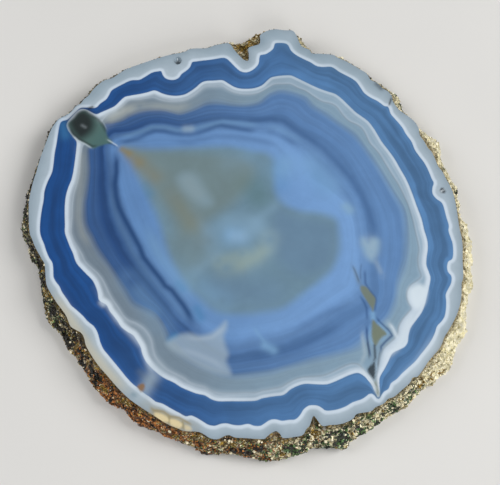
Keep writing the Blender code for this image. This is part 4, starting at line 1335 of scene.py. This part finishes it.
class AGATE_OT_stone(bpy.types.Operator):
    """Build the stone: its polished face, its rough wall and its sawn underside"""

    bl_idname = "agate.stone"
    bl_label = "Stone"

    def execute(self, context):
        sizes = context.scene.agate_sizes
        tones = context.scene.agate_tones
        rings = wall_rings(sizes.wall_points)
        stone = StoneMesh()
        rows = [stone.add_points(ring) for ring in rings]
        stone.add_wall(rows)
        top = np.array(rings[0])[:, :2]
        foot = np.array(rings[-1])[:, :2]
        inner = pit_points() + grid_points(top, sizes.face_pitch / MM, PITS) + thread_points(top)
        stone.add_face(rings[0], rows[0], inner, True, POLISHED_SLOT)
        under = grid_points(foot, sizes.back_pitch / MM, ())
        stone.add_face(rings[-1], rows[-1], under, False, SAWN_SLOT)
        mesh = bpy.data.meshes.new("agate_stone")
        mesh.from_pydata([stone_point(*point) for point in stone.points], [], stone.faces)
        mesh.materials.append(agate_finish("polished_agate", tones, POLISHED))
        mesh.materials.append(agate_finish("sawn_agate", tones, SAWN))
        mesh.materials.append(rind_finish())
        mesh.polygons.foreach_set("material_index", stone.slots)
        points = np.array(stone.points)
        store(mesh, banding(points[:, :2]))
        store(mesh, touching(points[:, :2]))
        store(mesh, shares_at(points, RIND_PLACES, ROCKS))
        store(mesh, shares_at(points, WHITE_PLACES, ["whiteness"]))
        mesh.update()
        piece = bpy.data.objects.new("agate_stone", mesh)
        finished(piece)
        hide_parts("agate_slice")
        return {"FINISHED"}


def grain_tree(material):
    """Geometry Nodes that scatter crystal grains over the rind."""
    tree = bpy.data.node_groups.new("rind_grain_scatter", "GeometryNodeTree")
    sockets = tree.interface
    sockets.new_socket("Geometry", in_out="INPUT", socket_type="NodeSocketGeometry")
    sockets.new_socket("Geometry", in_out="OUTPUT", socket_type="NodeSocketGeometry")
    for name in ("Density", "Smallest", "Largest"):
        sockets.new_socket(name, in_out="INPUT", socket_type="NodeSocketFloat")
    sockets.new_socket("Seed", in_out="INPUT", socket_type="NodeSocketInt")
    node = functools.partial(lay_node, tree)

    def chance(stream):
        index = node("GeometryNodeInputIndex").outputs[0]
        return node(
            "FunctionNodeRandomValue", {2: 0.0, 3: 1.0, "ID": index, "Seed": stream},
            data_type="FLOAT").outputs[1]

    def spread(low, high, stream):
        return node(
            "FunctionNodeRandomValue", {0: (low,) * 3, 1: (high,) * 3, "Seed": stream},
            data_type="FLOAT_VECTOR").outputs[0]

    given = node("NodeGroupInput").outputs
    weight = node("GeometryNodeInputNamedAttribute", {"Name": "grain_room"}, data_type="FLOAT").outputs[0]
    density = node("ShaderNodeMath", {0: weight, 1: given["Density"]}, operation="MULTIPLY").outputs[0]
    points = node("GeometryNodeDistributePointsOnFaces", {
        "Mesh": given["Geometry"], "Density": density, "Seed": given["Seed"]}).outputs["Points"]
    turn = spread(0.0, 2 * math.pi, TURN_STREAM)
    stretch = spread(*GRAIN_STRETCH, STRETCH_STREAM)
    bulk = node(
        "ShaderNodeMath", {0: chance(BULK_STREAM), 1: FINE_GRAIN_POWER}, operation="POWER").outputs[0]
    size = node("ShaderNodeMapRange", {
        "Value": bulk, "To Min": given["Smallest"], "To Max": given["Largest"]}).outputs["Result"]
    scale = node("ShaderNodeVectorMath", {0: stretch, 3: size}, operation="SCALE").outputs[0]
    crystal = node("GeometryNodeMeshCube", {"Size": (CRYSTAL_WIDTH,) * 3}).outputs["Mesh"]
    grains = node("GeometryNodeInstanceOnPoints", {
        "Points": points, "Instance": crystal, "Rotation": turn, "Scale": scale}).outputs[0]
    for name, stream in (("grain_pick", PICK_STREAM), ("grain_tint", TINT_STREAM)):
        grains = node(
            "GeometryNodeStoreNamedAttribute", {"Geometry": grains, "Name": name, "Value": chance(stream)},
            data_type="FLOAT", domain="INSTANCE").outputs[0]
    real = node("GeometryNodeRealizeInstances", {"Geometry": grains}).outputs[0]
    coated = node("GeometryNodeSetMaterial", {"Geometry": real, "Material": material}).outputs[0]
    node("NodeGroupOutput", {"Geometry": coated})
    return tree


def grain_bed(count):
    """A coarser copy of the rind, with how much room grains have at each of its points."""
    bed = StoneMesh()
    bed.add_wall([bed.add_points(ring) for ring in wall_rings(count)])
    mesh = bpy.data.meshes.new("rind_bed")
    mesh.from_pydata([stone_point(*point) for point in bed.points], [], bed.faces)
    points = np.array(bed.points)
    shares = shares_at(points, RIND_PLACES, ROCKS)
    height = points[:, 2]
    room = smooth_step(height, *BARE_FOOT) * smooth_step(height, *BARE_RIM)
    smooth_cream = smooth_step(shares["cream"], *SMOOTH_CREAM) * smooth_step(height, *SMOOTH_CREAM_TOP)
    store(mesh, shares)
    store(mesh, {"grain_room": room * (1 - SMOOTH_CREAM_SHARE * smooth_cream)})
    source = bpy.data.objects.new("rind_bed", mesh)
    bpy.context.scene.collection.objects.link(source)
    return source


def scattered(source, grains):
    """The grains that grow on a bed, as one plain mesh. The bed is taken away."""
    tree = grain_tree(grain_finish())
    modifier = source.modifiers.new("scatter", "NODES")
    modifier.node_group = tree
    values = {"Density": grains.density, "Smallest": grains.smallest, "Largest": grains.largest,
              "Seed": grains.seed}
    for item in tree.interface.items_tree:
        if item.in_out == "INPUT" and item.name in values:
            modifier[item.identifier] = values[item.name]
    graph = bpy.context.evaluated_depsgraph_get()
    made = bpy.data.meshes.new_from_object(source.evaluated_get(graph), depsgraph=graph)
    bpy.data.objects.remove(source)
    if not made.polygons:
        raise RuntimeError("the scatter made no grains")
    return made


def keep_between_faces(mesh):
    """Holds every point of the grains between the slice's two flat faces."""
    spots = np.empty(len(mesh.vertices) * 3, np.float32)
    mesh.vertices.foreach_get("co", spots)
    spots = spots.reshape(-1, 3)
    spots[:, 2] = np.clip(spots[:, 2], GRAIN_LOWEST * MM, THICKNESS - GRAIN_TOP_GAP * MM)
    mesh.vertices.foreach_set("co", spots.ravel())
    mesh.update()


class AGATE_OT_rind_grains(bpy.types.Operator):
    """Scatter the crystal grains over the rind"""

    bl_idname = "agate.rind_grains"
    bl_label = "Rind grains"

    def execute(self, context):
        bed = grain_bed(context.scene.agate_sizes.wall_points // 2)
        made = scattered(bed, context.scene.agate_grains)
        keep_between_faces(made)
        made.name = "rind_grains"
        finished(bpy.data.objects.new("rind_grains", made))
        return {"FINISHED"}


def floor_finish(colour):
    desk = NodeDesk("pale_floor")
    mottle = desk.speckle(desk.place(), FLOOR_SCALE, 4.0)
    return desk.finish(desk.mottled(tuple(colour), mottle, 0.015), FLOOR_ROUGHNESS)


def add_floor(colour):
    """The plain floor that the stone lies on."""
    mesh = bpy.data.meshes.new("floor")
    corners = [(FLOOR_HALF * x, FLOOR_HALF * y, 0) for x, y in ((-1, -1), (1, -1), (1, 1), (-1, 1))]
    mesh.from_pydata(corners, [], [range(4)])
    mesh.materials.append(floor_finish(colour))
    floor = bpy.data.objects.new("floor", mesh)
    bpy.context.scene.collection.objects.link(floor)


def add_room_light():
    """Faint, even light from all round."""
    world = bpy.data.worlds.new("soft_room")
    world.use_nodes = True
    sky = world.node_tree.nodes["Background"]
    sky.inputs["Color"].default_value = ROOM_COLOUR
    sky.inputs["Strength"].default_value = ROOM_STRENGTH
    bpy.context.scene.world = world


def add_softbox(name, place, size, power):
    """A soft square light that looks at the stone."""
    light = bpy.data.lights.new(name, "AREA")
    light.shape = "SQUARE"
    light.size = size
    light.energy = power
    softbox = bpy.data.objects.new(name, light)
    softbox.location = place
    softbox.rotation_euler = (-Vector(place)).to_track_quat("-Z", "Y").to_euler()
    bpy.context.scene.collection.objects.link(softbox)


def add_camera(distance, elevation):
    """The camera, which looks at the middle of the polished face from the side of low y."""
    lens = bpy.data.cameras.new("camera")
    lens.sensor_width = SENSOR_MM
    lens.lens = FOCAL_MM
    lens.clip_start, lens.clip_end = CLIP_RANGE
    camera = bpy.data.objects.new("camera", lens)
    back = distance * math.cos(elevation)
    up = distance * math.sin(elevation)
    camera.location = (OUTLINE_TO_ORIGIN[0] * MM, OUTLINE_TO_ORIGIN[1] * MM - back, THICKNESS + up)
    camera.rotation_euler = (math.pi / 2 - elevation, 0, 0)
    bpy.context.scene.collection.objects.link(camera)
    bpy.context.scene.camera = camera


class AGATE_OT_stage(bpy.types.Operator):
    """Set the pale floor, the soft lights and the camera"""

    bl_idname = "agate.stage"
    bl_label = "Stage"

    def execute(self, context):
        stage = context.scene.agate_stage
        add_floor(stage.floor_tone)
        add_room_light()
        for name, (place, width, power) in SOFTBOXES.items():
            add_softbox(name, place, width, power * stage.light_share)
        add_camera(stage.camera_distance, stage.camera_height)
        context.scene.view_settings.view_transform = "Standard"
        return {"FINISHED"}


class AGATE_PT_panel(bpy.types.Panel):
    """Sizes, colours and steps of the agate slice"""

    bl_idname = "AGATE_PT_panel"
    bl_label = "Agate slice"
    bl_space_type = "VIEW_3D"
    bl_region_type = "UI"
    bl_category = "Agate"

    def draw(self, context):
        for name in SETTINGS:
            group = getattr(context.scene, name)
            box = self.layout.box()
            for field in group.bl_rna.properties:
                if field.identifier not in ("name", "rna_type"):
                    box.prop(group, field.identifier)
        for step in STEPS:
            self.layout.operator(step.bl_idname)


SETTINGS = {
    "agate_sizes": AgateSizes, "agate_tones": AgateTones, "agate_grains": RindGrains,
    "agate_stage": StageSettings,
}
STEPS = (AGATE_OT_stone, AGATE_OT_rind_grains, AGATE_OT_stage)
CLASSES = (*SETTINGS.values(), *STEPS, AGATE_PT_panel)


def register():
    for kind in CLASSES:
        bpy.utils.register_class(kind)
    for name, group in SETTINGS.items():
        setattr(bpy.types.Scene, name, bpy.props.PointerProperty(type=group))


def unregister():
    for name in SETTINGS:
        delattr(bpy.types.Scene, name)
    for kind in reversed(CLASSES):
        bpy.utils.unregister_class(kind)


def main():
    register()
    bpy.ops.agate.stone()
    bpy.ops.agate.rind_grains()
    bpy.ops.agate.stage()


if __name__ == "__main__":
    main()
